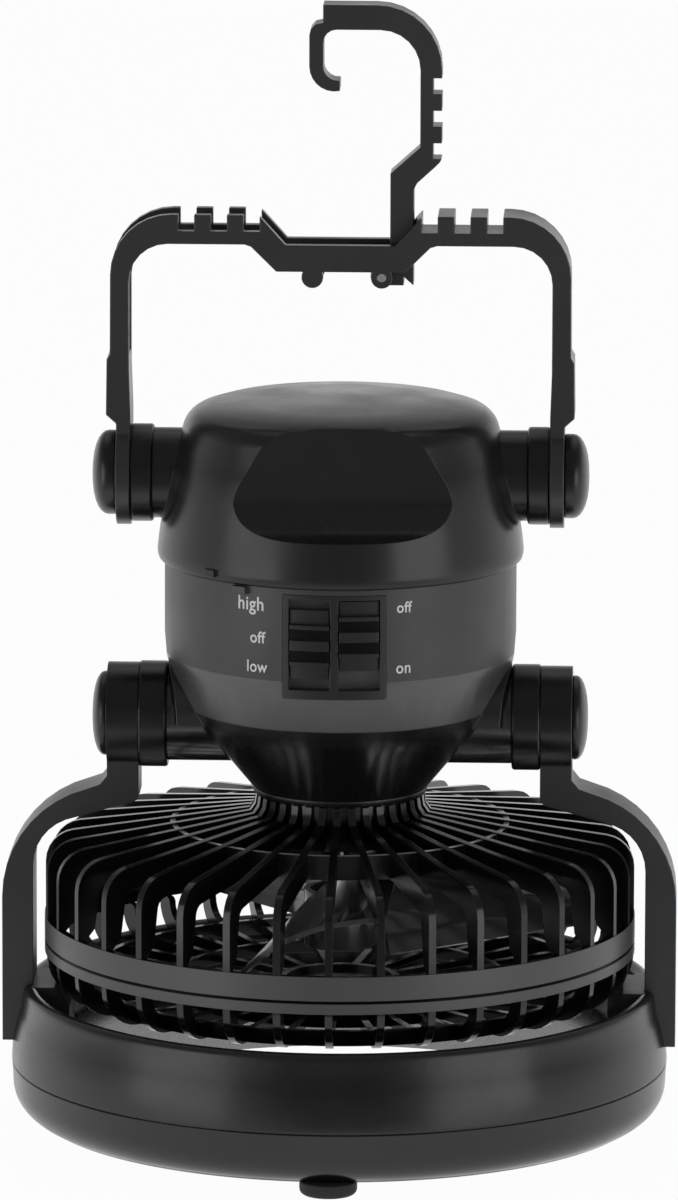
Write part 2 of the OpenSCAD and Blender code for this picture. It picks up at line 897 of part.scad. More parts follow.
module fan_rotor() {
  color([0.08, 0.08, 0.08]) {
    difference() {
      translate([0, 0, rotor_z]) cylinder(d = hub_d, h = rotor_top - rotor_z);
      translate([0, 0, rotor_z + 3])
        difference() {
          cylinder(d = hub_d - 3.4, h = rotor_top);
          translate([0, 0, -1]) cylinder(r = shaft_d / 2 + 2, h = rotor_top - rotor_z - 3);
        }
      translate([0, 0, rotor_z + 2])
        cylinder(d = shaft_d, h = rotor_top, $fn = 32);
    }
    for (i = [0 : blade_count - 1]) rotate(i * 360 / blade_count + 265) mirror([0, 1, 0]) blade();
  }
}

// ---- Cage ----

function dome_rib() =
  let (
    c_out = [rib_r - shoulder_r, shoulder_z],
    slope = 8.5,
    knee = arc(c_out, shoulder_r, 90 - slope, 0, 6),
    c_in = [rib_r - shoulder_r - 1, shoulder_z - 1],
    inner = arc(c_in, shoulder_r + 1 - rib_depth, 0, 90 - slope, 4)
  )
  concat(
    [[neck_r - 2.6, cage_top + neck_h - 0.4], [neck_r - 0.4, cage_top + neck_h - 0.4],
     [neck_r, cage_top + 2], [neck_r + 1.4, cage_top]],
    knee,
    [[rib_r, band_top - 1], [rib_r - band_t + 0.5, band_top - 1],
     [rib_r - rib_depth + 1.4, band_top + 3]],
    inner,
    [[neck_r - 1, cage_top - rib_depth], [neck_r - 2.6, cage_top - rib_depth]]
  );

module ribs(points, count) {
  for (i = [0 : count - 1])
    rotate(i * 360 / count)
      slab(points, rib_t);
}

module rear_cage() {
  color(black)
    difference() {
      union() {
        ribs(dome_rib(), rib_count);
        tube(cage_r, cage_r - band_t, band_seam, band_top);
        tube(hoop_r + hoop_t / 2, hoop_r - hoop_t / 2, cage_top - 10.4,
             cage_top - 3.6);
        tube(neck_r - 1.6, neck_r - 3.6, cage_top - 8, cage_top + neck_h);
        tube(neck_r - 1.8, 4, cage_top + 1, cage_top + neck_h);
      }
      cage_screw_places()
        translate([0, 0, cage_top]) cylinder(d = screw_d + 2 * EPS, h = 8, $fn = 32);
    }
}

function bowl_rib() =
  let (c = [rib_r - bowl_r, cage_z + bowl_r])
  concat(
    [[rib_r, band_z + 0.8], [rib_r, c[1]]],
    arc(c, bowl_r, 0, -90, 7),
    [[hoop_r, cage_z], [hoop_r, cage_z + 2.6], [rib_r - bowl_r, cage_z + 3.4]],
    arc(c, bowl_r - 4.6, -80, 0, 5),
    [[rib_r - 4, band_z], [rib_r - 1, band_z + 0.8]]
  );

grille_r = 17;

module front_cage() {
  z = cage_z;
  spoke = [
    [grille_r - 1, z + 0.3], [hoop_r + 0.2, z + 0.3],
    [hoop_r + 0.2, z + 2.2], [grille_r - 1, z + 2.2]
  ];
  color(black) {
    ribs(bowl_rib(), rib_count);
    ribs(spoke, rib_count / 2);
    tube(cage_r, cage_r - band_t, band_z, band_seam);
    tube(cage_r - bowl_r - 0.6, cage_r - bowl_r - 2.4, z + 0.3, z + 4.6);
    tube(hoop_r + hoop_t / 2, hoop_r - hoop_t / 2, z - 0.2, z + 3.4);
    revolve([
      [0, z - 0.2], [grille_r, z - 0.2], [grille_r, z + 3.4], [grille_r - 2, z + 3.4],
      [grille_r - 2, z + 1.8], [0, z + 1.8]
    ]);
  }
}

module cage_screws() {
  color(steel)
    cage_screw_places()
      translate([0, 0, cage_top + 1]) screw_up(screw_d, 4.6, 1.8, neck_h + 1.5);
}

// ---- Battery cap ----

scoop_y = body_r - 11.4;

// Turn of the scoops from the middle of the switch side
scoop_turn = 2.9;
scoop_floor = 12;

function cap_outside() =
  let (c = [body_r - 12.1, cap_top - 8.8])
  concat(
    [[0, seam_z], [body_r + 0.7, seam_z], [body_r + 1.6, seam_z + 0.6],
     [body_r + 1.9, seam_z + 1.6], [body_r + 2, seam_z + 2.8], [body_r + 1.6, seam_z + 6.4],
     [body_r + 0.7, seam_z + 13], [body_r - 0.5, seam_z + 22], [body_r - 1.7, seam_z + 27],
     [body_r - 3.2, cap_top - 13.1]],
    arc(c, 7.2, 12, 64, 6),
    [[body_r - 13, cap_top - 1.1], [body_r - 24, cap_top], [0, cap_top]]
  );

function cap_inside() = [
  [0, seam_z - 1], [body_r - 2, seam_z - 1], [body_r - 2, seam_z + 7],
  [body_r - 3.6, seam_z + 8.4], [body_r - 4.4, seam_z + 20],
  [body_r - 7.2, cap_top - 11], [body_r - 9.4, cap_top - 5.6], [body_r - 14, cap_ceiling],
  [0, cap_ceiling]
];

// Material taken away by a finger scoop: a flat back that runs out at the bottom in an arc
module scoop(grow) {
  y0 = scoop_y - grow;
  zc = cap_top - 19.4;
  for (side = [0, 180])
    rotate(side + scoop_turn)
      union() {
        box([-body_r, body_r], [-body_r - 20, -y0], [zc, cap_top + 10]);
        translate([-body_r, -scoop_y - scoop_floor, zc])
          rotate([0, 90, 0])
            cylinder(r = scoop_floor + grow, h = 2 * body_r, $fn = FINE);
      }
}

module battery_cap() {
  color(black)
    difference() {
      union() {
        difference() {
          union() {
            revolve(cap_outside());
            cap_tab();
          }
          scoop(0);
          difference() {
            revolve(cap_inside());
            scoop(wall);
          }
        }
        for (side = [0, 180])
          rotate(side)
            difference() {
              rod_x(cap_boss_d / 2, body_r - 8, upper_collar_x, cap_pivot_z);
              translate([0, 0, seam_z]) cylinder(r = body_r - 10, h = 50);
            }
        for (side = [0, 180])
          rotate(side) rod_x(5.6, cell_x + cell_d / 2 + 1.6, body_r - 3, cap_pivot_z);
      }
      rod_x(upper_screw_d / 2 + EPS, body_r - 11, upper_collar_x + 1, cap_pivot_z);
      rod_x(upper_screw_d / 2 + EPS, -upper_collar_x - 1, -body_r + 11, cap_pivot_z);
    }
}

// The tab on the cap's lip that lines up with the pip on the shell
module cap_tab() {
  intersection() {
    tube(body_r + 3, body_r - 1, seam_z + 1.4, seam_z + 3.4);
    rotate(227.8) box([0, body_r + 4], [-1.8, 1.8], [seam_z - 1, seam_z + 4]);
  }
}

module cap_contact_strip() {
  color(steel) {
    box([-cell_x - 7, cell_x + 7], [-6, 6], [cell_top, cell_top + strip_t]);
    for (side = [-1, 1])
      translate([side * 9, 0, cell_top + strip_t])
        cylinder(d = 5, h = strip_post, $fn = 32);
  }
}

module upper_collar(side) {
  color(black)
    side_of(side)
      collar(upper_collar_x, upper_collar_t, 13.6, upper_screw_d / 2 + EPS, cap_pivot_z);
}

module upper_collar_left() { upper_collar(-1); }
module upper_collar_right() { upper_collar(1); }

module upper_pivot_screw(side) {
  color(steel)
    side_of(side) {
      rod_x(upper_screw_d / 2, body_r - 10.6, handle_out + 0.1, cap_pivot_z);
      rod_x(upper_head_d / 2, handle_out, handle_out + upper_head_t, cap_pivot_z);
    }
}

module upper_pivot_screw_left() { upper_pivot_screw(-1); }
module upper_pivot_screw_right() { upper_pivot_screw(1); }

module upper_pivot_cover(side) {
  r = cover_d / 2;
  recess = upper_head_d / 2 + 0.6;
  color(black)
    side_of(side)
      translate([0, 0, cap_pivot_z])
        turned(concat(
          [[handle_out + upper_head_t + 0.6, 0], [handle_out + upper_head_t + 0.6, recess],
           [handle_out, recess], [handle_out, r]],
          dome(handle_out + 2.4, upper_cover_t - 2.4, r)
        ));
}

module upper_pivot_cover_left() { upper_pivot_cover(-1); }
module upper_pivot_cover_right() { upper_pivot_cover(1); }

// ---- Handle and hook ----

// Outer side of the handle, right half from the eye up to the middle
function handle_outside() =
  let (c = [leg_out - 17, grip_top - 17])
  concat(
    [[handle_out, cap_pivot_z], [handle_out, cap_pivot_z + 15], [leg_out + 1.2, cap_pivot_z + 17.5],
     [leg_out + 1, cap_pivot_z + 33], [leg_out + 0.1, cap_pivot_z + 34.6]],
    arc(c, 17, 0, 90, 8),
    [[jog_x - 2.8, grip_top], [jog_x - 4, grip_top - 1], [bar_x - 2.6, bar_top], [0, bar_top]]
  );

function handle_inside() =
  let (c = [leg_in - corner_in, grip_z - corner_in])
  concat(
    [[0, grip_z - bar_drop], [bar_x, grip_z - bar_drop], [jog_x - 1, grip_z - 0.6],
     [jog_x + 0.8, grip_z]],
    arc(c, corner_in, 90, 0, 6),
    [[leg_in, cap_pivot_z + 30], [handle_x, cap_pivot_z + 17.5], [handle_x, cap_pivot_z]]
  );

// The channel that takes the folded hook: floored under the first teeth, then open through
// the corner and down the leg, where the hook's tip swings
function channel_outline() = [
  [hook_pin[0] + 9.4, grip_top + 5], [hook_pin[0] + 9.4, grip_z - bar_drop - 6],
  [-jog_x + 2.6, grip_z - bar_drop - 6], [-jog_x + 2.6, grip_z - 1.5],
  [-jog_x - 0.6, grip_z + 1.1], [-jog_x - 15.4, grip_z + 1.1],
  [-jog_x - 15.4, hook_pin[1] - 22.5], [-leg_out - 6, hook_pin[1] - 22.5],
  [-leg_out - 6, grip_top + 5]
];

module notches(depth) {
  for (side = [-1, 1], i = [0 : 2])
    let (x = side * (notch_first + i * notch_pitch))
      box([x - notch_w / 2, x + notch_w / 2], [-depth, depth],
          [grip_top - notch_deep, grip_top + 2]);
}

module handle() {
  right = concat(handle_inside(), handle_outside());
  color(black)
    difference() {
      union() {
        slab(right, handle_w);
        slab(flip(right), handle_w);
        for (side = [0, 180])
          rotate(side) rod_x(14.5, handle_x, handle_out, cap_pivot_z);
        for (x = [-7.8, hook_pin[0]])
          translate([x, handle_w / 2, hook_pin[1]])
            rotate([90, 0, 0]) cylinder(r = 3, h = handle_w, $fn = 32);
      }
      slab(channel_outline(), slot_w);
      notches(handle_w);
      translate([hook_pin[0], handle_w, hook_pin[1]])
        rotate([90, 0, 0]) cylinder(d = hook_pin_d + 2 * EPS, h = 2 * handle_w, $fn = 32);
      rod_x(upper_screw_d / 2 + pin_fit, -handle_out - 5, handle_out + 5, cap_pivot_z);
    }
}

module hook_pin_rod() {
  translate([hook_pin[0], handle_w / 2, hook_pin[1]])
    rotate([90, 0, 0]) cylinder(d = hook_pin_d, h = handle_w, $fn = 32);
}

module hook_pin() {
  color(steel) hook_pin_rod();
}

// The hook stands up at rest. Its outline starts at the pin and follows the outer edge up
function hook_outline() =
  let (
    p = hook_pin,
    far = 16.4,
    near = 10.4,
    top = 75.5,
    thick = 6.9,
    c = [p[0] + far - 18, p[1] + top - 18],
    tip = -20.3
  )
  concat(
    [[p[0] + 8.7, p[1] - 2.6], [p[0] + 8.7, p[1] + 24.2], [p[0] + 9.6, p[1] + 26],
     [p[0] + 14.6, p[1] + 30.6], [p[0] + far - 0.6, p[1] + 31.8], [p[0] + far, p[1] + 32.9]],
    arc(c, 18, 0, 90, 8),
    [[p[0] + tip + 3.8, p[1] + top], [p[0] + tip + 3.8, p[1] + top - 5],
     [p[0] + tip + 1.6, p[1] + top - 5.5], [p[0] + tip + 0.4, p[1] + top - 6.8],
     [p[0] + tip, p[1] + top - 8.4]],
    arc([p[0] - 13.3, p[1] + 58.4], 7, 180, 282, 7),
    [[p[0] - 11.8, p[1] + 54.2]],
    arc([p[0] - 12.4, p[1] + 58.4], 4, 276, 180, 5),
    arc([p[0] - 12.8, p[1] + top - thick - 3.6], 3.6, 180, 90, 4),
    arc([c[0] + 0.9, c[1]], 18 - thick, 90, 0, 6),
    [[p[0] + near, p[1] + 36], [p[0] + 2.2, p[1] + 28.6], [p[0] + 2.2, p[1] + 3.2]]
  );

module hook() {
  color(black)
    difference() {
      union() {
        slab(hook_outline(), hook_w);
        translate([hook_pin[0], hook_w / 2, hook_pin[1]])
          rotate([90, 0, 0]) cylinder(r = 3.2, h = hook_w, $fn = 32);
        box([hook_pin[0], hook_pin[0] + 6], [-hook_w / 2, hook_w / 2],
            [hook_pin[1] - 2.6, hook_pin[1] + 3.2]);
      }
      for (i = [0 : 2])
        let (z = hook_pin[1] + notch_first + hook_pin[0] - 1 + i * notch_pitch)
          box([hook_pin[0] + 14, hook_pin[0] + 20], [-hook_w, hook_w],
              [z - notch_w / 2, z + notch_w / 2]);
      translate([hook_pin[0], hook_w, hook_pin[1]])
        rotate([90, 0, 0])
          cylinder(d = hook_pin_d + 2 * pin_fit, h = 2 * hook_w, $fn = 32);
    }
}

ring_upper_shell();
ring_lower_shell();
ring_screws();
lamp_board();
lamps();
lamp_reflector();
lamp_lens();
feet();
arm_left();
arm_right();
arm_screws();
lower_pivot_cover_left();
lower_pivot_cover_right();
lower_pivot_screw_left();
lower_pivot_screw_right();
lower_collar_left();
lower_collar_right();
motor_housing();
body_front_shell();
body_back_shell();
body_screws();
switch_panel();
fan_switch_body();
light_switch_body();
fan_switch_slider();
light_switch_slider();
battery_tray();
battery_springs();
battery_cell_left();
battery_cell_right();
motor();
motor_bracket();
motor_shaft();
fan_rotor();
rear_cage();
front_cage();
cage_screws();
battery_cap();
cap_contact_strip();
upper_collar_left();
upper_collar_right();
upper_pivot_screw_left();
upper_pivot_screw_right();
upper_pivot_cover_left();
upper_pivot_cover_right();
handle();
hook_pin();
hook();
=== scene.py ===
"""Camping fan with a lamp ring: finishes, moulded edges, switch words, light and camera.

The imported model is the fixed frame. Each sub-assembly of the fan is a class that knows its
own pieces: it rounds the moulded edges of the pieces that show, gives every piece its finish
and reports what it made. Metres, +Z up, the switches face -Y.
"""

from __future__ import annotations

import json
import logging
import math
from collections.abc import Mapping, Sequence
from dataclasses import dataclass, field
from enum import Enum
from typing import Any, ClassVar

import bpy
from mathutils import Matrix, Vector

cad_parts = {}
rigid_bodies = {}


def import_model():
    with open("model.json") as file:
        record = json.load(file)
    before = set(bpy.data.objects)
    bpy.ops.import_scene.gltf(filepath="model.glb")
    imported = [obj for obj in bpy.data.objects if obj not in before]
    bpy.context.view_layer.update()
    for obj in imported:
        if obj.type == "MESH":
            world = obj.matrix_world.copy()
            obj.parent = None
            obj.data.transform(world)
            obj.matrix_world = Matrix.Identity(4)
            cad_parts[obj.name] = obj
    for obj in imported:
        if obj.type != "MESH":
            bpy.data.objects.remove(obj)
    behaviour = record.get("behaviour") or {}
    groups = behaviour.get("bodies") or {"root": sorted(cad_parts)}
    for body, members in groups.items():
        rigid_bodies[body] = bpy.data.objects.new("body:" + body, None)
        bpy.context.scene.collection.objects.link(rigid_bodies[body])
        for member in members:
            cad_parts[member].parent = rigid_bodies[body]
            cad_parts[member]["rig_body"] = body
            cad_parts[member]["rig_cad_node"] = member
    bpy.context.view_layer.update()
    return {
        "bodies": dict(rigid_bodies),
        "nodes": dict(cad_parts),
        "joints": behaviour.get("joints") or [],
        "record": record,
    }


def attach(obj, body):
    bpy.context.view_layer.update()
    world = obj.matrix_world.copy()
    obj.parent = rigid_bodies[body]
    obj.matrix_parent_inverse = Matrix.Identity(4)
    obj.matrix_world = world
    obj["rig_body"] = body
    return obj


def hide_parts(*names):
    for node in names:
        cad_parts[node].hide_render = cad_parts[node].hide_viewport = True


LOG = logging.getLogger("camping_fan")
MM = 0.001
BODY_RADIUS = 49.0 * MM  # the round wall that carries the switches and their words

Colour = tuple[float, float, float]
Point = tuple[float, float, float]
Frame = dict[str, Any]
Socket = tuple[bpy.types.Node, str]
Stops = tuple[tuple[float, float], ...]


def grey(level: float, warm: float = 0.0) -> Colour:
    """A near neutral colour, a touch warm or cool."""
    return (level * (1 + warm), level, level * (1 - warm))


BLACK, WHITE = grey(0.0), grey(1.0)


# ---------------------------------------------------------------- shader groups


class GroupName(Enum):
    """The shader groups that more than one finish uses."""

    EDGE = "moulded edge"
    GRAIN = "spark grain"
    DUST = "settled dust"
    RUB = "handling marks"


class ShaderGroups:
    """Builds each shared shader group once and hands it out by name."""

    EDGE_SAMPLES: ClassVar[int] = 4
    PIT_SHARE: ClassVar[float] = 0.55
    # Where each noise begins to show and where it shows in full.
    DUST_RANGE: ClassVar[tuple[float, float]] = (0.52, 0.78)
    PATCH_RANGE: ClassVar[tuple[float, float]] = (0.38, 0.66)
    HAIR_RANGE: ClassVar[tuple[float, float]] = (0.66, 0.72)
    # The hairlines are one noise, turned and pressed thin along one axis.
    HAIR_TURN: ClassVar[Point] = (0.4, 0.9, 0.3)
    HAIR_SCALE: ClassVar[Point] = (60.0, 1800.0, 60.0)

    def __init__(self) -> None:
        """Builds every group."""
        self.trees: dict[GroupName, bpy.types.NodeTree] = {
            GroupName.EDGE: self._edge(),
            GroupName.GRAIN: self._grain(),
            GroupName.DUST: self._dust(),
            GroupName.RUB: self._rub(),
        }

    @staticmethod
    def _new(
        name: GroupName, inputs: Mapping[str, float], outputs: Mapping[str, str]
    ) -> tuple[Wires, bpy.types.Node, bpy.types.Node]:
        """Makes an empty group with its named sockets.

        Args:
            name: The group's name.
            inputs: Name and default value of each number that goes in.
            outputs: Socket name to its type.

        Returns:
            The group's wiring helper, its input node and its output node.
        """
        tree = bpy.data.node_groups.new(name.value, "ShaderNodeTree")
        for socket, default in inputs.items():
            made = tree.interface.new_socket(
                socket, in_out="INPUT", socket_type="NodeSocketFloat"
            )
            made.default_value = default
        for socket, kind in outputs.items():
            tree.interface.new_socket(socket, in_out="OUTPUT", socket_type=kind)
        wires = Wires(tree)
        return wires, wires.add("NodeGroupInput"), wires.add("NodeGroupOutput")

    def _edge(self) -> bpy.types.NodeTree:
        """A mask of the outer edges, and the normal that rounds them."""
        wires, start, end = self._new(
            GroupName.EDGE,
            {"Radius": 0.3 * MM, "Spread": 1.0},
            {"Mask": "NodeSocketFloat", "Normal": "NodeSocketVector"},
        )
        bevel = wires.add("ShaderNodeBevel", samples=self.EDGE_SAMPLES)
        sharp = wires.add("ShaderNodeNewGeometry")
        facing = wires.add("ShaderNodeVectorMath", operation="DOT_PRODUCT")
        away = wires.add("ShaderNodeMath", {0: 1.0}, operation="SUBTRACT", use_clamp=True)
        gain = wires.add("ShaderNodeMath", operation="MULTIPLY", use_clamp=True)
        wires.link(start, "Radius", bevel, "Radius")
        wires.link(bevel, "Normal", facing, 0)
        wires.link(sharp, "Normal", facing, 1)
        wires.link(facing, "Value", away, 1)
        wires.link(away, "Value", gain, 0)
        wires.link(start, "Spread", gain, 1)
        wires.link(gain, "Value", end, "Mask")
        wires.link(bevel, "Normal", end, "Normal")
        return wires.tree

    def _grain(self) -> bpy.types.NodeTree:
        """The fine pitted height of a spark eroded mould, and a slow drift of tone."""
        wires, start, end = self._new(
            GroupName.GRAIN,
            {"Size": 2600.0, "Drift": 55.0},
            {"Height": "NodeSocketFloat", "Tone": "NodeSocketFloat"},
        )
        place = wires.add("ShaderNodeTexCoord")
        fine = wires.add("ShaderNodeTexNoise", {"Detail": 3.0, "Roughness": 0.6})
        pits = wires.add("ShaderNodeTexVoronoi")
        slow = wires.add("ShaderNodeTexNoise", {"Detail": 4.0})
        both = wires.add("ShaderNodeMath", {1: self.PIT_SHARE}, operation="MULTIPLY_ADD")
        wires.link(place, "Object", fine, "Vector")
        wires.link(place, "Object", pits, "Vector")
        wires.link(place, "Object", slow, "Vector")
        wires.link(start, "Size", fine, "Scale")
        wires.link(start, "Size", pits, "Scale")
        wires.link(start, "Drift", slow, "Scale")
        wires.link(pits, "Distance", both, 0)
        wires.link(fine, "Fac", both, 2)
        wires.link(both, "Value", end, "Height")
        wires.link(slow, "Fac", end, "Tone")
        return wires.tree

    def _dust(self) -> bpy.types.NodeTree:
        """A mask of fine dust that lies on what faces up."""
        wires, start, end = self._new(
            GroupName.DUST, {"Amount": 0.2, "Size": 900.0}, {"Mask": "NodeSocketFloat"}
        )
        sharp = wires.add("ShaderNodeNewGeometry")
        part = wires.add("ShaderNodeSeparateXYZ")
        place = wires.add("ShaderNodeTexCoord")
        speck = wires.add("ShaderNodeTexNoise", {"Detail": 6.0})
        shown = wires.rise(self.DUST_RANGE)
        up = wires.add("ShaderNodeMath", operation="MULTIPLY", use_clamp=True)
        out = wires.add("ShaderNodeMath", operation="MULTIPLY", use_clamp=True)
        wires.link(sharp, "Normal", part, "Vector")
        wires.link(place, "Object", speck, "Vector")
        wires.link(start, "Size", speck, "Scale")
        wires.link(speck, "Fac", shown, "Fac")
        wires.link(part, "Z", up, 0)
        wires.link(start, "Amount", up, 1)
        wires.link(up, "Value", out, 0)
        wires.link(shown, "Color", out, 1)
        wires.link(out, "Value", end, "Mask")
        return wires.tree

    def _rub(self) -> bpy.types.NodeTree:
        """Soft patches and hairlines where hands polish the plastic."""
        wires, start, end = self._new(
            GroupName.RUB,
            {"Size": 38.0, "Hairlines": 0.4},
            {"Patches": "NodeSocketFloat", "Lines": "NodeSocketFloat"},
        )
        place = wires.add("ShaderNodeTexCoord")
        patch = wires.add("ShaderNodeTexNoise", {"Detail": 5.0})
        soft = wires.rise(self.PATCH_RANGE)
        turn = wires.add(
            "ShaderNodeMapping", {"Rotation": self.HAIR_TURN, "Scale": self.HAIR_SCALE}
        )
        hair = wires.add("ShaderNodeTexNoise", {"Scale": 1.0, "Detail": 2.0})
        thin = wires.rise(self.HAIR_RANGE)
        out = wires.add("ShaderNodeMath", operation="MULTIPLY", use_clamp=True)
        wires.link(place, "Object", patch, "Vector")
        wires.link(start, "Size", patch, "Scale")
        wires.link(patch, "Fac", soft, "Fac")
        wires.link(place, "Object", turn, "Vector")
        wires.link(turn, "Vector", hair, "Vector")
        wires.link(hair, "Fac", thin, "Fac")
        wires.link(thin, "Color", out, 0)
        wires.link(start, "Hairlines", out, 1)
        wires.link(soft, "Color", end, "Patches")
        wires.link(out, "Value", end, "Lines")
        return wires.tree


class Wires:
    """Adds and joins nodes in one tree."""

    def __init__(self, tree: bpy.types.NodeTree) -> None:
        """Holds the tree that the nodes go into."""
        self.tree = tree

    def add(
        self, kind: str, values: Mapping[str | int, object] | None = None, **settings: object
    ) -> bpy.types.Node:
        """Adds a node and sets it up.

        Args:
            kind: Blender's name of the node type.
            values: The inputs that are set, by name or number.
            **settings: The node's own properties.

        Returns:
            The new node.
        """
        node = self.tree.nodes.new(kind)
        for name, value in settings.items():
            setattr(node, name, value)
        for socket, value in (values or {}).items():
            node.inputs[socket].default_value = value
        return node

    def group(
        self, groups: ShaderGroups, name: GroupName, **values: float
    ) -> bpy.types.Node:
        """Places a shader group with this material's own values.

        Args:
            groups: The shared shader groups.
            name: Which group it is.
            **values: Input name to value.

        Returns:
            The group's node.
        """
        return self.add("ShaderNodeGroup", values, node_tree=groups.trees[name])

    def link(
        self, a: bpy.types.Node, out: str | int, b: bpy.types.Node, to: str | int
    ) -> None:
        """Joins an output to an input."""
        self.tree.links.new(a.outputs[out], b.inputs[to])

    def ramp(
        self, stops: Sequence[tuple[float, Colour]], interpolation: str = "LINEAR"
    ) -> bpy.types.Node:
        """A colour ramp.

        Args:
            stops: Place and colour of each stop.
            interpolation: How the ramp passes from stop to stop.

        Returns:
            The ramp node.
        """
        node = self.add("ShaderNodeValToRGB")
        node.color_ramp.interpolation = interpolation
        while len(node.color_ramp.elements) < len(stops):
            node.color_ramp.elements.new(1.0)
        for element, (place, colour) in zip(node.color_ramp.elements, stops):
            element.position = place
            element.color = (*colour, 1.0)
        return node

    def rise(self, span: tuple[float, float]) -> bpy.types.Node:
        """A ramp from black to white between two places."""
        return self.ramp([(span[0], BLACK), (span[1], WHITE)])

    def between(self, source: Socket, low: float, high: float) -> bpy.types.Node:
        """Spreads a 0 to 1 value over a range.

        Args:
            source: The node and output that drive it.
            low: What 0 becomes.
            high: What 1 becomes.

        Returns:
            The node; its value is the output named Result.
        """
        node = self.add("ShaderNodeMapRange", {"To Min": low, "To Max": high})
        self.link(*source, node, "Value")
        return node

    def blend(
        self, mask: Socket, low: Colour, high: Colour, share: float
    ) -> bpy.types.Node:
        """A mix of two colours by a mask.

        Args:
            mask: The node and output that drive the mix.
            low: The colour where the mask is 0.
            high: The colour where the mask is 1.
            share: How much of the mask is used.

        Returns:
            The mix node; its colour is the output named Color.
        """
        scale = self.add("ShaderNodeMath", {1: share}, operation="MULTIPLY", use_clamp=True)
        mix = self.add("ShaderNodeMixRGB", {"Color1": (*low, 1.0), "Color2": (*high, 1.0)})
        self.link(*mask, scale, 0)
        self.link(scale, "Value", mix, "Fac")
        return mix

    def bump(
        self,
        height: Socket,
        strength: float,
        distance: float,
        shader: bpy.types.Node,
        base: Socket | None = None,
    ) -> None:
        """Gives a shader a raised surface.

        Args:
            height: The node and output that hold the height.
            strength: The bump's strength.
            distance: How far full height rises, in metres.
            shader: The shader whose normal it feeds.
            base: The node and output of the normal under the bump, if any.
        """
        node = self.add("ShaderNodeBump", {"Strength": strength, "Distance": distance})
        self.link(*height, node, "Height")
        if base is not None:
            self.link(*base, node, "Normal")
        self.link(node, "Normal", shader, "Normal")


# ---------------------------------------------------------------- finishes


@dataclass(frozen=True)
class Plastic:
    """Moulded plastic with grain, softened edges, dust and handling marks."""

    name: str
    colour: Colour
    rough: float
    grain: float
    grain_size: float
    edge: float = 0.3 * MM
    edge_tone: float = 2.2
    drift: float = 0.25
    dust: float = 0.12
    lines: float = 0.25
    specular: float = 0.5

    WEAR_SPREAD: ClassVar[float] = 3.0
    WEAR_SHARE: ClassVar[float] = 0.6
    WEAR_LIFT: ClassVar[float] = 0.004
    DRIFT_LIFT: ClassVar[float] = 0.0006
    DUST_TONE: ClassVar[Colour] = grey(0.32, 0.05)
    DUST_SHARE: ClassVar[float] = 0.35
    POLISH: ClassVar[float] = 0.05
    SCUFF: ClassVar[float] = 0.12
    GRAIN_DEPTH: ClassVar[float] = 0.08 * MM

    def material(self, groups: ShaderGroups) -> bpy.types.Material:
        """Builds the material.

        Args:
            groups: The shared shader groups.

        Returns:
            The finished material.
        """
        made, wires, shader = start_material(self.name)
        edge = wires.group(groups, GroupName.EDGE, Radius=self.edge, Spread=self.WEAR_SPREAD)
        grain = wires.group(groups, GroupName.GRAIN, Size=self.grain_size)
        dust = wires.group(groups, GroupName.DUST, Amount=self.dust)
        rub = wires.group(groups, GroupName.RUB, Hairlines=self.lines)
        light = tuple(min(1.0, c * self.edge_tone + self.WEAR_LIFT) for c in self.colour)
        drift = tuple(c * (1 + self.drift) + self.DRIFT_LIFT for c in self.colour)
        tone = wires.blend((grain, "Tone"), self.colour, drift, 1.0)
        worn = wires.blend((edge, "Mask"), self.colour, light, self.WEAR_SHARE)
        dusty = wires.blend((dust, "Mask"), self.colour, self.DUST_TONE, self.DUST_SHARE)
        wires.link(tone, "Color", worn, "Color1")
        wires.link(worn, "Color", dusty, "Color1")
        wires.link(dusty, "Color", shader, "Base Color")
        polish = wires.between(
            (rub, "Patches"), self.rough + self.POLISH, self.rough - self.POLISH
        )
        scuff = wires.add(
            "ShaderNodeMath", {1: self.SCUFF}, operation="MULTIPLY_ADD", use_clamp=True
        )
        wires.link(rub, "Lines", scuff, 0)
        wires.link(polish, "Result", scuff, 2)
        wires.link(scuff, "Value", shader, "Roughness")
        wires.bump((grain, "Height"), self.grain, self.GRAIN_DEPTH, shader, (edge, "Normal"))
        shader.inputs["Specular IOR Level"].default_value = self.specular
        return made


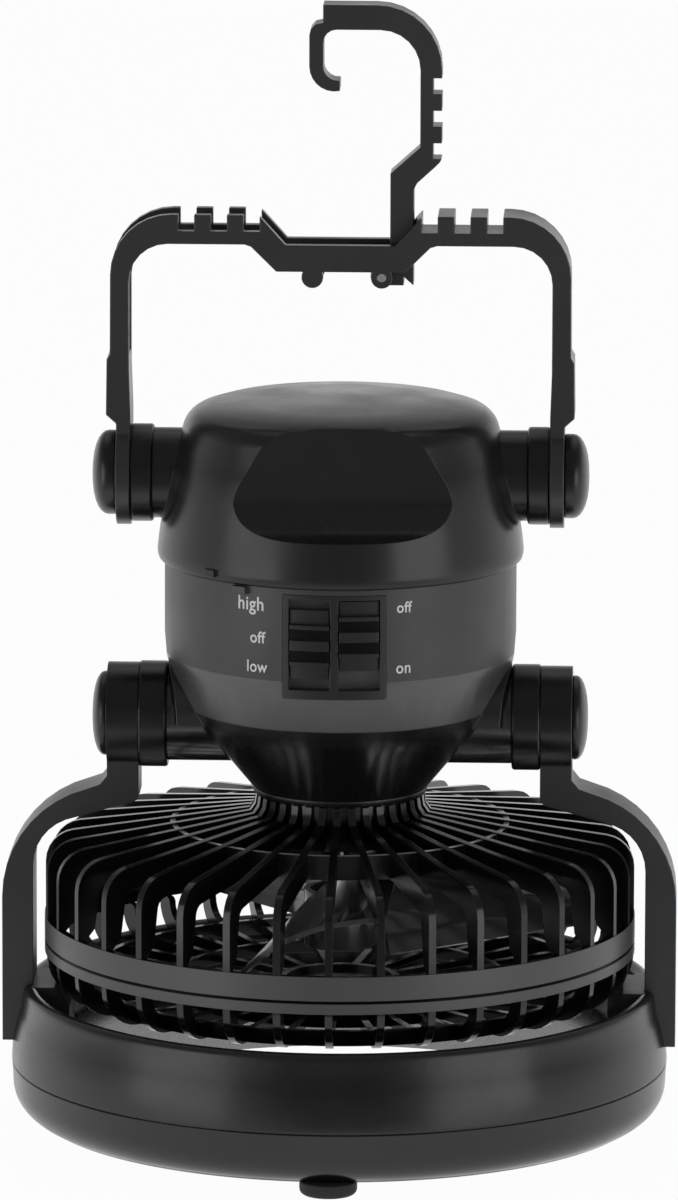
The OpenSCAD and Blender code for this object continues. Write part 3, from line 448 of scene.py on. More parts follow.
@dataclass(frozen=True)
class Metal:
    """Plated or drawn metal with fine turning lines."""

    name: str
    colour: Colour
    rough: float
    lines: Point = (400.0, 400.0, 4000.0)
    depth: float = 0.15

    EDGE: ClassVar[float] = 0.2 * MM
    EDGE_SPREAD: ClassVar[float] = 2.0
    AGE_SIZE: ClassVar[float] = 1500.0
    AGE_DRIFT: ClassVar[float] = 240.0
    AGE_TONE: ClassVar[Colour] = grey(0.28, 0.12)
    AGE_SHARE: ClassVar[float] = 0.25
    BRIGHT_TONE: ClassVar[Colour] = grey(0.9)
    BRIGHT_SHARE: ClassVar[float] = 0.35
    POLISH: ClassVar[float] = 0.06
    MATT: ClassVar[float] = 0.12
    LINE_DEPTH: ClassVar[float] = 0.04 * MM

    def material(self, groups: ShaderGroups) -> bpy.types.Material:
        """Builds the material.

        Args:
            groups: The shared shader groups.

        Returns:
            The finished material.
        """
        made, wires, shader = start_material(self.name)
        place = wires.add("ShaderNodeTexCoord")
        turn = wires.add("ShaderNodeMapping", {"Scale": self.lines})
        noise = wires.add("ShaderNodeTexNoise", {"Scale": 1.0, "Detail": 4.0})
        edge = wires.group(groups, GroupName.EDGE, Radius=self.EDGE, Spread=self.EDGE_SPREAD)
        grain = wires.group(
            groups, GroupName.GRAIN, Size=self.AGE_SIZE, Drift=self.AGE_DRIFT
        )
        tone = wires.blend((noise, "Fac"), self.colour, self.BRIGHT_TONE, self.BRIGHT_SHARE)
        aged = wires.blend((grain, "Tone"), self.colour, self.AGE_TONE, self.AGE_SHARE)
        rough = wires.between(
            (noise, "Fac"), self.rough - self.POLISH, self.rough + self.MATT
        )
        wires.link(place, "Object", turn, "Vector")
        wires.link(turn, "Vector", noise, "Vector")
        wires.link(tone, "Color", aged, "Color1")
        wires.link(aged, "Color", shader, "Base Color")
        wires.link(rough, "Result", shader, "Roughness")
        wires.bump((noise, "Fac"), self.depth, self.LINE_DEPTH, shader, (edge, "Normal"))
        shader.inputs["Metallic"].default_value = 1.0
        return made


@dataclass(frozen=True)
class RibbedLens:
    """Clear plastic with fine prism rings about the ring's axis."""

    name: str = "ribbed clear lens"
    pitch: float = 1.1 * MM
    prism: float = 0.6
    prism_depth: float = 0.3 * MM
    rough: tuple[float, float] = (0.08, 0.2)
    tint: tuple[Colour, Colour] = ((0.93, 0.95, 0.95), (0.97, 0.98, 0.98))
    clear: float = 0.85
    bend: float = 1.49

    PATCH_SIZE: ClassVar[float] = 60.0

    def material(self, groups: ShaderGroups) -> bpy.types.Material:
        """Builds the material.

        Args:
            groups: The shared shader groups.

        Returns:
            The finished material.
        """
        made, wires, shader = start_material(self.name)
        place = wires.add("ShaderNodeTexCoord")
        flat = wires.add("ShaderNodeVectorMath", {1: (1.0, 1.0, 0.0)}, operation="MULTIPLY")
        reach = wires.add("ShaderNodeVectorMath", operation="LENGTH")
        count = wires.add("ShaderNodeMath", {1: 1.0 / self.pitch}, operation="MULTIPLY")
        prism = wires.add("ShaderNodeMath", {1: 0.5}, operation="PINGPONG")
        rub = wires.group(groups, GroupName.RUB, Size=self.PATCH_SIZE)
        rough = wires.between((rub, "Patches"), *self.rough)
        tint = wires.blend((rub, "Patches"), *self.tint, 1.0)
        wires.link(place, "Object", flat, 0)
        wires.link(flat, "Vector", reach, 0)
        wires.link(reach, "Value", count, 0)
        wires.link(count, "Value", prism, 0)
        wires.bump((prism, "Value"), self.prism, self.prism_depth, shader)
        wires.link(rough, "Result", shader, "Roughness")
        wires.link(tint, "Color", shader, "Base Color")
        shader.inputs["Transmission Weight"].default_value = self.clear
        shader.inputs["IOR"].default_value = self.bend
        return made


@dataclass(frozen=True)
class Banded:
    """A finish whose colour changes with height on the piece, such as a wrapped cell."""

    name: str
    stops: tuple[tuple[float, Colour], ...]
    low: float
    high: float
    rough: float

    AGE_SIZE: ClassVar[float] = 900.0
    AGE_DRIFT: ClassVar[float] = 120.0
    AGE_TONE: ClassVar[Colour] = grey(0.5)
    AGE_SHARE: ClassVar[float] = 0.12
    PATCH_SIZE: ClassVar[float] = 90.0
    POLISH: ClassVar[float] = 0.06
    MATT: ClassVar[float] = 0.08

    def material(self, groups: ShaderGroups) -> bpy.types.Material:
        """Builds the material.

        Args:
            groups: The shared shader groups.

        Returns:
            The finished material.
        """
        made, wires, shader = start_material(self.name)
        place = wires.add("ShaderNodeTexCoord")
        part = wires.add("ShaderNodeSeparateXYZ")
        height = wires.add("ShaderNodeMapRange", {"From Min": self.low, "From Max": self.high})
        bands = wires.ramp(self.stops, "CONSTANT")
        grain = wires.group(
            groups, GroupName.GRAIN, Size=self.AGE_SIZE, Drift=self.AGE_DRIFT
        )
        rub = wires.group(groups, GroupName.RUB, Size=self.PATCH_SIZE)
        aged = wires.blend((grain, "Tone"), BLACK, self.AGE_TONE, self.AGE_SHARE)
        rough = wires.between(
            (rub, "Patches"), self.rough - self.POLISH, self.rough + self.MATT
        )
        wires.link(place, "Object", part, "Vector")
        wires.link(part, "Z", height, "Value")
        wires.link(height, "Result", bands, "Fac")
        wires.link(bands, "Color", aged, "Color1")
        wires.link(aged, "Color", shader, "Base Color")
        wires.link(rough, "Result", shader, "Roughness")
        return made


def start_material(
    name: str,
) -> tuple[bpy.types.Material, Wires, bpy.types.Node]:
    """Starts a material on a Principled shader.

    Args:
        name: The material's name.

    Returns:
        The material, its wiring helper and its Principled node.
    """
    made = bpy.data.materials.new(name)
    made.use_nodes = True
    shader = made.node_tree.nodes["Principled BSDF"]
    return made, Wires(made.node_tree), shader


class Finish(Enum):
    """Every finish on the fan."""

    SHELL = Plastic("glossy black shell", grey(0.011), rough=0.24, grain=0.05, grain_size=3200.0)
    # Painted reflection: the ring's inner bore gets a bright metal in place of the black shell, so
    # it shows light that does not reach it here.
    BORE = Metal(
        "ring bore painted reflection", grey(0.06, 0.04), rough=0.24, lines=(2500.0, 2500.0, 2500.0), depth=0.02
    )
    CONE = Plastic(
        "glossy black cone", grey(0.007), rough=0.24, grain=0.04, grain_size=3200.0, lines=0.0,
        specular=1.0,
    )
    PIVOT = Plastic("satin black pivot", grey(0.004), rough=0.3, grain=0.08, grain_size=2600.0)
    ARM = Plastic("satin black arm", grey(0.032), rough=0.38, grain=0.14, grain_size=2600.0)
    BODY = Plastic(
        "sparked black body", grey(0.042), rough=0.42, grain=0.2, grain_size=2200.0, edge_tone=1.8
    )
    TAPER = Plastic(
        "polished lower body", grey(0.05, 0.03), rough=0.3, grain=0.1, grain_size=2200.0, lines=0.0,
        specular=0.9,
    )
    CAP = Plastic(
        "smooth black cap", grey(0.012), rough=0.26, grain=0.06, grain_size=2800.0, specular=0.42
    )
    # Painted shade: the cap's upward crown faces get a darker colour than the rest of the cap, so
    # the top looks less lit.
    CROWN = Plastic(
        "cap crown painted shade", grey(0.004), rough=0.26, grain=0.05, grain_size=2800.0, lines=0.0
    )
    CAGE = Plastic(
        "glossy black cage", grey(0.004), rough=0.16, grain=0.03, grain_size=3200.0, edge=0.15 * MM
    )
    BAND = Plastic(
        "satin cage band", grey(0.075, 0.02), rough=0.34, grain=0.1, grain_size=2600.0, edge=0.4 * MM
    )
    # Painted highlight: the hoop's upward faces get a light grey so they look lit from above.
    HOOP = Plastic(
        "cage hoop painted highlight", grey(0.44), rough=0.16, grain=0.04, grain_size=3200.0, edge_tone=1.0,
        specular=1.0,
    )
    ROTOR = Plastic(
        "polished black blade", grey(0.05), rough=0.14, grain=0.02, grain_size=2600.0, specular=1.0
    )
    PANEL = Plastic("black switch panel", grey(0.016), rough=0.34, grain=0.1, grain_size=3200.0)
    SLIDER = Plastic("black slider", grey(0.016), rough=0.3, grain=0.05, grain_size=3200.0)
    # Painted shade: the floors between the slider ridges get near black with little reflection, as
    # if in shadow.
    GROOVE = Plastic(
        "slider groove painted shade", grey(0.001), rough=0.4, grain=0.05, grain_size=3200.0, edge_tone=1.0,
        specular=0.15,
    )
    # The ridge crests get a colour a touch darker than the slider, with weaker edge lightening.
    RIDGE = Plastic(
        "slider ridge crest", grey(0.014), rough=0.3, grain=0.05, grain_size=3200.0, edge_tone=1.3
    )
    HANDLE = Plastic(
        "satin black handle", grey(0.031), rough=0.3, grain=0.1, grain_size=2400.0, edge=0.5 * MM
    )
    INNER = Plastic(
        "dark moulded part", grey(0.03), rough=0.5, grain=0.2, grain_size=1800.0, edge_tone=1.5
    )
    SWITCH = Plastic("grey switch block", grey(0.12, 0.02), rough=0.5, grain=0.15, grain_size=1800.0)
    RUBBER = Plastic(
        "moulded rubber", grey(0.02), rough=0.75, grain=0.5, grain_size=1500.0, edge_tone=1.4,
        lines=0.0,
    )
    LAMP = Plastic(
        "lamp dome", (0.86, 0.84, 0.72), rough=0.12, grain=0.02, grain_size=900.0, edge_tone=1.05,
        dust=0.0,
    )
    BOARD = Plastic(
        "coated board", (0.62, 0.7, 0.6), rough=0.4, grain=0.3, grain_size=700.0, edge_tone=1.1
    )
    MIRROR = Metal(
        "metallised reflector", grey(0.8), rough=0.18, lines=(300.0, 300.0, 300.0), depth=0.05
    )
    STEEL = Metal("zinc plated steel", (0.56, 0.57, 0.58), rough=0.3)
    CAN = Metal("drawn motor can", (0.5, 0.5, 0.5), rough=0.34, lines=(300.0, 300.0, 2400.0))
    LENS = RibbedLens()
    CELL = Banded(
        "wrapped cell",
        stops=(
            (0.0, grey(0.55)),
            (0.03, (0.03, 0.12, 0.07)),
            (0.8, (0.5, 0.5, 0.47)),
            (0.84, (0.03, 0.12, 0.07)),
            (0.965, grey(0.55)),
        ),
        low=138.7 * MM,
        high=200.2 * MM,
        rough=0.3,
    )
    INK = Plastic(
        "printed white ink", grey(0.95), rough=0.5, grain=0.02, grain_size=1500.0, edge_tone=1.0,
        drift=0.0, dust=0.0,
    )


class Paints:
    """Hands out each finish as one material, made when it is first asked for."""

    def __init__(self) -> None:
        """Builds the shared shader groups."""
        self.groups = ShaderGroups()
        self.made: dict[Finish, bpy.types.Material] = {}

    def get(self, finish: Finish) -> bpy.types.Material:
        """The material of a finish."""
        if finish not in self.made:
            self.made[finish] = finish.value.material(self.groups)
        return self.made[finish]

    def dress(self, piece: bpy.types.Object, finish: Finish) -> None:
        """Gives a piece one finish all over."""
        piece.data.materials.clear()
        piece.data.materials.append(self.get(finish))


# ---------------------------------------------------------------- modelling


def deselect_all() -> None:
    """Leaves nothing selected, in object mode."""
    if bpy.context.object is not None and bpy.context.object.mode != "OBJECT":
        bpy.ops.object.mode_set(mode="OBJECT")
    bpy.ops.object.select_all(action="DESELECT")


def pick(piece: bpy.types.Object) -> None:
    """Makes a piece the only one selected, and the active one."""
    deselect_all()
    piece.select_set(True)
    bpy.context.view_layer.objects.active = piece


def slice_at(*heights: float) -> None:
    """Cuts the mesh that is in edit mode with a level plane at each height."""
    for height in heights:
        bpy.ops.mesh.select_all(action="SELECT")
        bpy.ops.mesh.bisect(plane_co=(0, 0, height), plane_no=(0, 0, 1))


@dataclass(frozen=True)
class Zone:
    """The faces in a band of heights, distances from the axis and tilts, in another finish."""

    finish: Finish
    low: float
    high: float
    near: float
    far: float
    tilt: tuple[float, float] = (-0.5, 0.5)

    ANY_TILT: ClassVar[tuple[float, float]] = (-1.01, 1.01)

    def holds(self, face: bpy.types.MeshPolygon) -> bool:
        """Whether a face lies in the zone."""
        return (
            self.low < face.center.z < self.high
            and self.near < face.center.xy.length < self.far
            and self.tilt[0] < face.normal.z < self.tilt[1]
        )

    def cut(self) -> None:
        """Cuts the mesh in edit mode where the zone begins and ends."""
        slice_at(self.low, self.high)

    def dress(self, piece: bpy.types.Object, paints: Paints) -> None:
        """Gives the zone's faces their finish."""
        piece.data.materials.append(paints.get(self.finish))
        slot = len(piece.data.materials) - 1
        for face in piece.data.polygons:
            if self.holds(face):
                face.material_index = slot


@dataclass(frozen=True)
class Groove:
    """A narrow V pressed into an outer wall where two mouldings meet.

    Both mouldings end at the V's bottom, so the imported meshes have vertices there.
    """

    height: float
    half: float
    depth: float
    near: float

    REACH: ClassVar[float] = 0.02 * MM

    def cut(self) -> None:
        """Cuts the mesh in edit mode at the groove's lips."""
        slice_at(self.height - self.half, self.height + self.half)

    def press(self, piece: bpy.types.Object) -> None:
        """Moves the vertices at the groove's bottom towards the axis."""
        for vertex in piece.data.vertices:
            reach = vertex.co.xy.length
            if abs(vertex.co.z - self.height) < self.REACH and reach > self.near:
                shrink = 1 - self.depth / reach
                vertex.co.x *= shrink
                vertex.co.y *= shrink


@dataclass
class MouldedPiece:
    """A CAD node shown with the rounded edges that its mould gives it.

    Edges sharper than `sharp` degrees are rounded to `radius` in `steps` facets.
    """

    node: str
    finish: Finish
    radius: float = 0.4 * MM
    sharp: float = 38.0
    steps: int = 2
    zones: tuple[Zone, ...] = ()
    groove: Groove | None = None

    MERGE: ClassVar[float] = 0.002 * MM
    FLAT: ClassVar[float] = 0.5
    SMOOTH_MARGIN: ClassVar[float] = 4.0

    def build(self, frame: Frame, paints: Paints) -> bpy.types.Object:
        """Copies the node, merges its mesh, rounds its sharp edges and dresses it.

        Args:
            paints: The finishes.

        Returns:
            The finished piece, riding on its body.
        """
        source = frame["nodes"][self.node]
        piece = self._copy(source)
        self._merge(piece)
        self._round(piece)
        deselect_all()
        body = source["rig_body"]
        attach(piece, body)
        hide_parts(self.node)
        paints.dress(piece, self.finish)
        for zone in self.zones:
            zone.dress(piece, paints)
        return piece

    def _copy(self, source: bpy.types.Object) -> bpy.types.Object:
        """Makes a free copy of the node with its own mesh."""
        piece = source.copy()
        piece.data = source.data.copy()
        piece.name = f"{self.node}_moulded"
        piece.parent = None
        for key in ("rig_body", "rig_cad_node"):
            if key in piece:
                del piece[key]
        bpy.context.scene.collection.objects.link(piece)
        return piece

    def _merge(self, piece: bpy.types.Object) -> None:
        """Joins the loose triangles and cuts the mesh where zones and groove begin."""
        pick(piece)
        bpy.ops.object.mode_set(mode="EDIT")
        bpy.ops.mesh.select_all(action="SELECT")
        bpy.ops.mesh.remove_doubles(threshold=self.MERGE)
        bpy.ops.mesh.dissolve_limited(angle_limit=math.radians(self.FLAT), delimit={"SHARP"})
        for zone in self.zones:
            zone.cut()
        if self.groove is not None:
            self.groove.cut()
        bpy.ops.object.mode_set(mode="OBJECT")
        if self.groove is not None:
            self.groove.press(piece)

    def _round(self, piece: bpy.types.Object) -> None:
        """Smooths the shallow edges and bevels the sharp ones."""
        if "custom_normal" in piece.data.attributes:
            piece.data.attributes.remove(piece.data.attributes["custom_normal"])
        bpy.ops.object.shade_smooth_by_angle(angle=math.radians(self.sharp - self.SMOOTH_MARGIN))
        bpy.ops.object.modifier_add(type="BEVEL")
        bevel = piece.modifiers[-1]
        bevel.width = self.radius
        bevel.segments = self.steps
        bevel.limit_method = "ANGLE"
        bevel.angle_limit = math.radians(self.sharp)
        bevel.use_clamp_overlap = True
        bevel.harden_normals = True
        bpy.ops.object.modifier_apply(modifier=bevel.name)


def pair(stem: str, finish: Finish, **settings: Any) -> list[MouldedPiece]:
    """The left and the right piece that share a name and a finish.

    Args:
        stem: Their nodes' name without the side.
        finish: Their finish.
        **settings: The other fields of MouldedPiece.

    Returns:
        The two pieces, left first.
    """
    return [MouldedPiece(f"{stem}_{side}", finish, **settings) for side in ("left", "right")]


@dataclass
class Assembly:
    """A sub-assembly: the nodes it shows with rounded edges and those it shows as they are."""

    title: str
    moulded: list[MouldedPiece] = field(default_factory=list)
    plain: dict[Finish, list[str]] = field(default_factory=dict)

    def build(self, frame: Frame, paints: Paints) -> None:
        """Builds and dresses the sub-assembly and reports it.

        Args:
            paints: The finishes.
        """
        for moulded in self.moulded:
            piece = moulded.build(frame, paints)
            LOG.info("%s: %s, %d faces", self.title, piece.name, len(piece.data.polygons))
        for finish, nodes in self.plain.items():
            for node in nodes:
                paints.dress(frame["nodes"][node], finish)
        LOG.info("%s: %d nodes kept", self.title, sum(map(len, self.plain.values())))


class LightRing(Assembly):
    """The ring of lamps that the fan stands on."""

    def __init__(self) -> None:
        """Lists the ring's pieces."""
        # The bore zone carries the painted reflection of light coming through the ring.
        bore = Zone(Finish.BORE, low=3.0 * MM, high=38.0 * MM, near=74.0 * MM, far=75.6 * MM)
        super().__init__(
            "light ring",
            [
                MouldedPiece("ring_upper_shell", Finish.SHELL, 0.5 * MM, zones=(bore,)),
                MouldedPiece("ring_lower_shell", Finish.SHELL, 0.3 * MM, zones=(bore,)),
                MouldedPiece("feet", Finish.RUBBER),
            ],
            {
                Finish.STEEL: ["ring_screws"],
                Finish.BOARD: ["lamp_board"],
                Finish.LAMP: ["lamps"],
                Finish.MIRROR: ["lamp_reflector"],
                Finish.LENS: ["lamp_lens"],
            },
        )


class Arms(Assembly):
    """The two arms that carry the head, with their pivots."""

    def __init__(self) -> None:
        """Lists the pieces of the arms and the lower pivots."""
        eye = Zone(
            Finish.PIVOT, low=104.5 * MM, high=140.0 * MM, near=0.0, far=100.0 * MM,
            tilt=Zone.ANY_TILT,
        )
        super().__init__(
            "arms",
            [
                *pair("arm", Finish.ARM, radius=1.1 * MM, steps=3, zones=(eye,)),
                *pair("lower_pivot_cover", Finish.PIVOT, radius=0.6 * MM, steps=3),
                *pair("lower_collar", Finish.PIVOT),
            ],
            {
                Finish.STEEL: ["arm_screws", "lower_pivot_screw_left", "lower_pivot_screw_right"],
            },
        )


class Head(Assembly):
    """Motor housing, body shells and what is inside them."""

    SHELL_SHARP: ClassVar[float] = 17.0

    def __init__(self) -> None:
        """Lists the head's pieces."""
        taper = Zone(Finish.TAPER, low=119.0 * MM, high=135.8 * MM, near=30.0 * MM, far=50.0 * MM)
        super().__init__(
            "head",
            [
                MouldedPiece("motor_housing", Finish.CONE, 0.4 * MM),
                *(
                    MouldedPiece(shell, Finish.BODY, 0.3 * MM, self.SHELL_SHARP, zones=(taper,))
                    for shell in ("body_front_shell", "body_back_shell")
                ),
            ],
            {
                Finish.INNER: ["battery_tray", "motor_bracket"],
                Finish.CAN: ["motor"],
                Finish.CELL: ["battery_cell_left", "battery_cell_right"],
                Finish.STEEL: ["body_screws", "battery_springs", "motor_shaft"],
            },
        )


class SwitchBank(Assembly):
    """The switch panel with its two sliders."""

    def __init__(self) -> None:
        """Lists the pieces of the switches."""
        foot, head = 133.0 * MM, 161.0 * MM
        # The groove zone paints shade on the floors between the ridges.
        floor = (BODY_RADIUS - 0.1 * MM, BODY_RADIUS + 0.45 * MM)
        crest = (BODY_RADIUS + 0.6 * MM, BODY_RADIUS + 1.2 * MM)
        grip = (Zone(Finish.GROOVE, foot, head, *floor), Zone(Finish.RIDGE, foot, head, *crest))
        super().__init__(
            "switches",
            [
                MouldedPiece("switch_panel", Finish.PANEL, 0.25 * MM),
                MouldedPiece("fan_switch_slider", Finish.SLIDER, 0.25 * MM, zones=grip),
                MouldedPiece("light_switch_slider", Finish.SLIDER, 0.25 * MM, zones=grip),
            ],
            {
                Finish.SWITCH: ["fan_switch_body", "light_switch_body"],
            },
        )


class Cage(Assembly):
    """The ribbed cage and the fan in it."""

    EDGE: ClassVar[float] = 0.15 * MM

    def __init__(self) -> None:
        """Lists the pieces of the cage and the fan."""
        band = Zone(Finish.BAND, low=50.4 * MM, high=61.1 * MM, near=81.9 * MM, far=90.0 * MM)
        # The hoop zone is a painted highlight on the upward faces of the cage's top hoop.
        hoop = Zone(
            Finish.HOOP, low=86.6 * MM, high=87.4 * MM, near=45.6 * MM, far=47.8 * MM,
            tilt=(0.8, 1.01),
        )
        seam = Groove(height=53.8 * MM, half=0.45 * MM, depth=0.5 * MM, near=82.2 * MM)
        super().__init__(
            "cage",
            [
                MouldedPiece(
                    "rear_cage", Finish.CAGE, self.EDGE, steps=1, zones=(band, hoop), groove=seam
                ),
                MouldedPiece(
                    "front_cage", Finish.CAGE, self.EDGE, steps=1, zones=(band,), groove=seam
                ),
                MouldedPiece("fan_rotor", Finish.ROTOR, 0.3 * MM),
            ],
            {
                Finish.STEEL: ["cage_screws"],
            },
        )


class Cap(Assembly):
    """The battery cap with the upper pivots."""

    def __init__(self) -> None:
        """Lists the pieces of the cap and the upper pivots."""
        # The crown zone is painted shade on the cap's upward faces.
        crown = Zone(
            Finish.CROWN, low=197.0 * MM, high=207.0 * MM, near=0.0, far=60.0 * MM,
            tilt=(0.72, 1.01),
        )
        super().__init__(
            "cap",
            [
                MouldedPiece("battery_cap", Finish.CAP, 0.7 * MM, steps=3, zones=(crown,)),
                *pair("upper_collar", Finish.PIVOT),
            ],
            {
                Finish.STEEL: [
                    "cap_contact_strip",
                    "upper_pivot_screw_left",
                    "upper_pivot_screw_right",
                ],
            },
        )


class Bail(Assembly):
    """The carrying handle and the hook that folds into it."""

    def __init__(self) -> None:
        """Lists the pieces of the handle and the hook."""
        super().__init__(
            "handle",
            [
                MouldedPiece("handle", Finish.HANDLE, 1.0 * MM, steps=3),
                MouldedPiece("hook", Finish.HANDLE, 0.9 * MM, steps=3),
                *pair("upper_pivot_cover", Finish.PIVOT, radius=0.6 * MM, steps=3),
            ],
            {
                Finish.STEEL: ["hook_pin"],
            },
        )


@dataclass(frozen=True)
class SwitchWord:
    """A word printed on the body beside a switch."""

    text: str
    across: float
    up: float
    size: float = 4.6 * MM

    NARROW: ClassVar[float] = 0.9
    SPACING: ClassVar[float] = 1.06
    BOLD: ClassVar[float] = 0.08 * MM
    THICK: ClassVar[float] = 0.02 * MM
    MERGE: ClassVar[float] = 0.001 * MM

    def build(self, shell_radius: float, paints: Paints) -> bpy.types.Object:
        """Types the word, makes it a thin mesh and lays it on the round shell.

        Args:
            shell_radius: Radius of the shell that carries the word.
            paints: The finishes.

        Returns:
            The finished word.
        """
        deselect_all()
        bpy.ops.object.text_add(location=(0, 0, 0))
        word = bpy.context.object
        word.name = f"word_{self.text}_{'left' if self.across < 0 else 'right'}"
        word.data.body = self.text
        word.data.size = self.size
        word.data.align_x = "CENTER"
        word.data.align_y = "CENTER"
        word.data.extrude = self.THICK
        word.data.space_character = self.SPACING
        word.data.offset = self.BOLD
        bpy.ops.object.convert(target="MESH")
        word = bpy.context.object
        word.matrix_world = (
            Matrix.Translation((self.across, -shell_radius - self.THICK, self.up))
            @ Matrix.Rotation(math.radians(90), 4, "X")
            @ Matrix.Diagonal((self.NARROW, 1.0, 1.0, 1.0))
        )
        bpy.ops.object.transform_apply(location=True, rotation=True, scale=True)
        bpy.ops.object.mode_set(mode="EDIT")
        bpy.ops.mesh.select_all(action="SELECT")
        bpy.ops.mesh.remove_doubles(threshold=self.MERGE)
        bpy.ops.mesh.subdivide(number_cuts=1)
        bpy.ops.object.mode_set(mode="OBJECT")
        for vertex in word.data.vertices:
            reach = -vertex.co.y
            turn = vertex.co.x / shell_radius
            vertex.co.x = reach * math.sin(turn)
            vertex.co.y = -reach * math.cos(turn)
        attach(word, "fan_head")
        paints.dress(word, Finish.INK)
        return word


@dataclass(frozen=True)
class SwitchWords:
    """The words beside the two switches."""

    shell_radius: float = BODY_RADIUS
    words: tuple[SwitchWord, ...] = (
        SwitchWord("high", -24.1 * MM, 156.9 * MM, 5.4 * MM),
        SwitchWord("off", -22.0 * MM, 147.6 * MM),
        SwitchWord("low", -22.2 * MM, 139.4 * MM),
        SwitchWord("off", 19.6 * MM, 156.6 * MM, 4.3 * MM),
        SwitchWord("on", 19.5 * MM, 139.7 * MM),
    )

    def build(self, paints: Paints) -> None:
        """Prints every word and reports it."""
        for word in self.words:
            made = word.build(self.shell_radius, paints)
            LOG.info("words: %s", made.name)


# ---------------------------------------------------------------- studio


@dataclass(frozen=True)
class SoftBox:
    """A soft rectangular lamp: its place, width and height in metres, and watts."""

    name: str
    place: Point
    size: tuple[float, float]
    power: float

    def hang(self, aim: Vector) -> None:
        """Adds the lamp.

        Args:
            aim: The point it faces.
        """
        data = bpy.data.lights.new(self.name, "AREA")
        data.shape = "RECTANGLE"
        data.size, data.size_y = self.size
        data.energy = self.power
        lamp = bpy.data.objects.new(self.name, data)
        bpy.context.scene.collection.objects.link(lamp)
        lamp.location = self.place
        lamp.rotation_euler = (aim - Vector(self.place)).to_track_quat("-Z", "Y").to_euler()


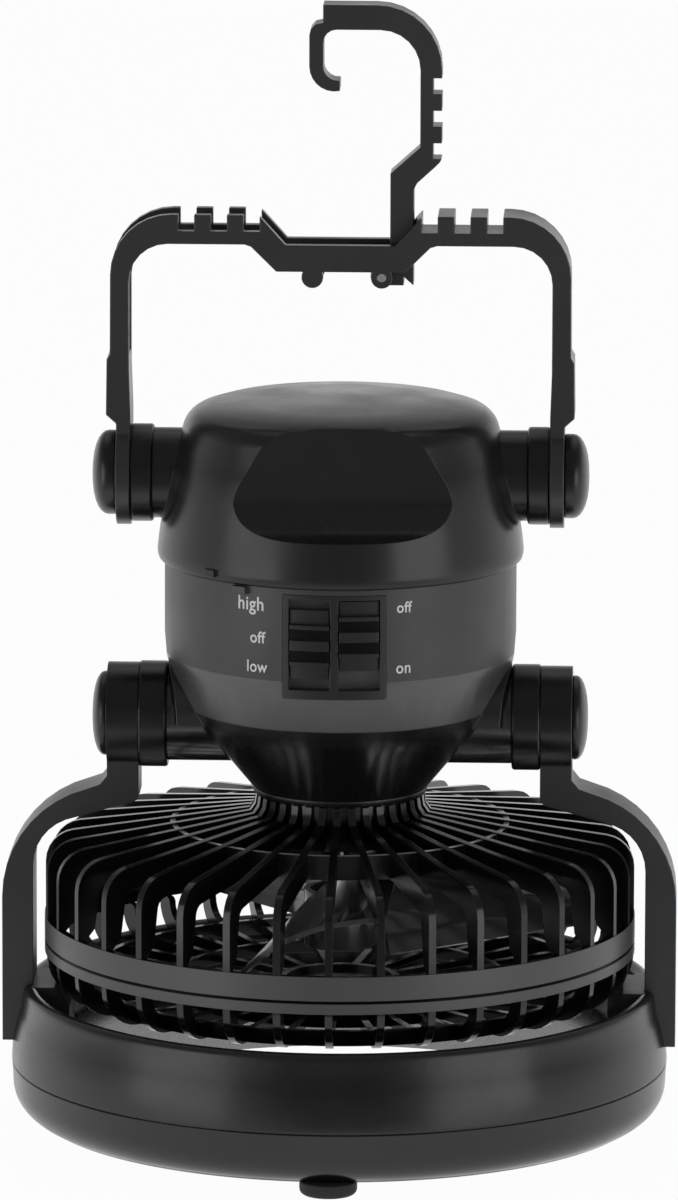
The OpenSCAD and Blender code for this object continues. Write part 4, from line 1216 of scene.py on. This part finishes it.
@dataclass(frozen=True)
class Studio:
    """Pale floor and surround, soft lamps and the camera."""

    distance: float = 3.0
    azimuth: float = 2.1
    elevation: float = 11.2
    roll: float = 0.15
    aim: Point = (-0.00045, 0.0, 0.14964)
    frame_height: float = 0.3345
    sensor: float = 24.0
    far_clip: float = 50.0
    floor_side: float = 4.0
    floor_front: float = -0.24
    floor_drop: float = 0.2 * MM
    floor_white: float = 0.97
    # Place and level of the surround's stops, from the camera's side to the back and
    # from below to above.
    depth_stops: Stops = ((0.03, 0.22), (0.09, 0.62), (0.6, 0.7), (0.8, 1.0))
    rise_stops: Stops = ((0.555, 1.0), (0.63, 0.5), (0.76, 0.28))
    lamp_aim: Point = (0.0, 0.0, 0.15)
    boxes: tuple[SoftBox, ...] = (
        SoftBox("top box", (0.0, 0.5, 1.2), (1.4, 0.9), 1.2),
        SoftBox("left box", (-1.0, -0.7, 0.2), (0.8, 0.8), 2.8),
        SoftBox("right box", (1.0, -0.75, 0.2), (0.8, 0.8), 2.8),
    )

    def floor(self) -> None:
        """Lays a pale floor that looks nearly white and still takes the soft shadow."""
        deselect_all()
        bpy.ops.mesh.primitive_plane_add(
            size=self.floor_side,
            location=(0, self.floor_side / 2 + self.floor_front, -self.floor_drop),
        )
        floor = bpy.context.object
        floor.name = "floor"
        made, wires, shader = start_material("pale floor")
        place = wires.add("ShaderNodeTexCoord")
        noise = wires.add("ShaderNodeTexNoise", {"Scale": 3.0})
        tone = wires.blend((noise, "Fac"), grey(0.9), grey(0.93), 1.0)
        wires.link(place, "Object", noise, "Vector")
        wires.link(tone, "Color", shader, "Base Color")
        shader.inputs["Roughness"].default_value = 0.9
        shader.inputs["Specular IOR Level"].default_value = 0.1
        glow = wires.add("ShaderNodeEmission", {"Strength": 1.0})
        path = wires.add("ShaderNodeLightPath")
        show = wires.add("ShaderNodeMath", operation="ADD", use_clamp=True)
        through = wires.add("ShaderNodeMath", operation="ADD", use_clamp=True)
        seen = wires.add(
            "ShaderNodeMath", {1: self.floor_white}, operation="MULTIPLY", use_clamp=True
        )
        mix = wires.add("ShaderNodeMixShader")
        out = made.node_tree.nodes["Material Output"]
        wires.link(path, "Is Camera Ray", show, 0)
        wires.link(path, "Is Glossy Ray", show, 1)
        wires.link(show, "Value", through, 0)
        wires.link(path, "Is Transmission Ray", through, 1)
        wires.link(through, "Value", seen, 0)
        wires.link(seen, "Value", mix, "Fac")
        wires.link(shader, "BSDF", mix, 1)
        wires.link(glow, "Emission", mix, 2)
        wires.link(mix, "Shader", out, "Surface")
        floor.data.materials.append(made)

    def surround(self) -> None:
        """A white surround that lights the fan less from the camera's side and from above."""
        world = bpy.data.worlds.new("studio")
        bpy.context.scene.world = world
        world.use_nodes = True
        wires = Wires(world.node_tree)
        back = world.node_tree.nodes["Background"]
        place = wires.add("ShaderNodeTexCoord")
        part = wires.add("ShaderNodeSeparateXYZ")
        wires.link(place, "Generated", part, "Vector")
        shaded = wires.add("ShaderNodeMixRGB", {"Fac": 1.0}, blend_type="MULTIPLY")
        for axis, stops, side in (
            ("Y", self.depth_stops, "Color1"),
            ("Z", self.rise_stops, "Color2"),
        ):
            half = wires.add("ShaderNodeMath", {1: 0.5, 2: 0.5}, operation="MULTIPLY_ADD")
            ramp = wires.ramp([(spot, grey(level)) for spot, level in stops])
            wires.link(part, axis, half, 0)
            wires.link(half, "Value", ramp, "Fac")
            wires.link(ramp, "Color", shaded, side)
        path = wires.add("ShaderNodeLightPath")
        show = wires.add("ShaderNodeMath", operation="ADD", use_clamp=True)
        mix = wires.add("ShaderNodeMixRGB", {"Color2": (1.0, 1.0, 1.0, 1.0)})
        wires.link(shaded, "Color", mix, "Color1")
        wires.link(path, "Is Camera Ray", show, 0)
        wires.link(path, "Is Transmission Ray", show, 1)
        wires.link(show, "Value", mix, "Fac")
        wires.link(mix, "Color", back, "Color")
        back.inputs["Strength"].default_value = 1.0

    def lamps(self) -> None:
        """Hangs the soft boxes round the fan."""
        for box in self.boxes:
            box.hang(Vector(self.lamp_aim))

    def camera(self) -> None:
        """Sets the camera."""
        data = bpy.data.cameras.new("camera")
        data.sensor_fit = "VERTICAL"
        data.sensor_height = self.sensor
        data.lens = self.sensor * self.distance / self.frame_height
        data.clip_end = self.far_clip
        camera = bpy.data.objects.new("camera", data)
        bpy.context.scene.collection.objects.link(camera)
        turn, rise = math.radians(self.azimuth), math.radians(self.elevation)
        away = Vector(
            (
                math.sin(turn) * math.cos(rise),
                -math.cos(turn) * math.cos(rise),
                math.sin(rise),
            )
        )
        place = Vector(self.aim) + away * self.distance
        look = (-away).to_track_quat("-Z", "Y").to_matrix().to_4x4()
        spin = Matrix.Rotation(math.radians(self.roll), 4, "Z")
        camera.matrix_world = Matrix.Translation(place) @ look @ spin
        bpy.context.scene.camera = camera

    def build(self) -> None:
        """Sets up the whole studio."""
        bpy.context.scene.view_settings.view_transform = "Standard"
        self.floor()
        self.surround()
        self.lamps()
        self.camera()
        LOG.info("studio: floor, surround, %d lamps, camera", len(self.boxes))


def main() -> None:
    """Builds the fan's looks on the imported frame."""
    logging.basicConfig(level=logging.INFO, format="%(name)s %(message)s")
    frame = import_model()
    deselect_all()
    paints = Paints()
    for assembly in (
        LightRing(),
        Arms(),
        Head(),
        SwitchBank(),
        Cage(),
        Cap(),
        Bail(),
    ):
        assembly.build(frame, paints)
    SwitchWords().build(paints)
    Studio().build()


if __name__ == "__main__":
    main()
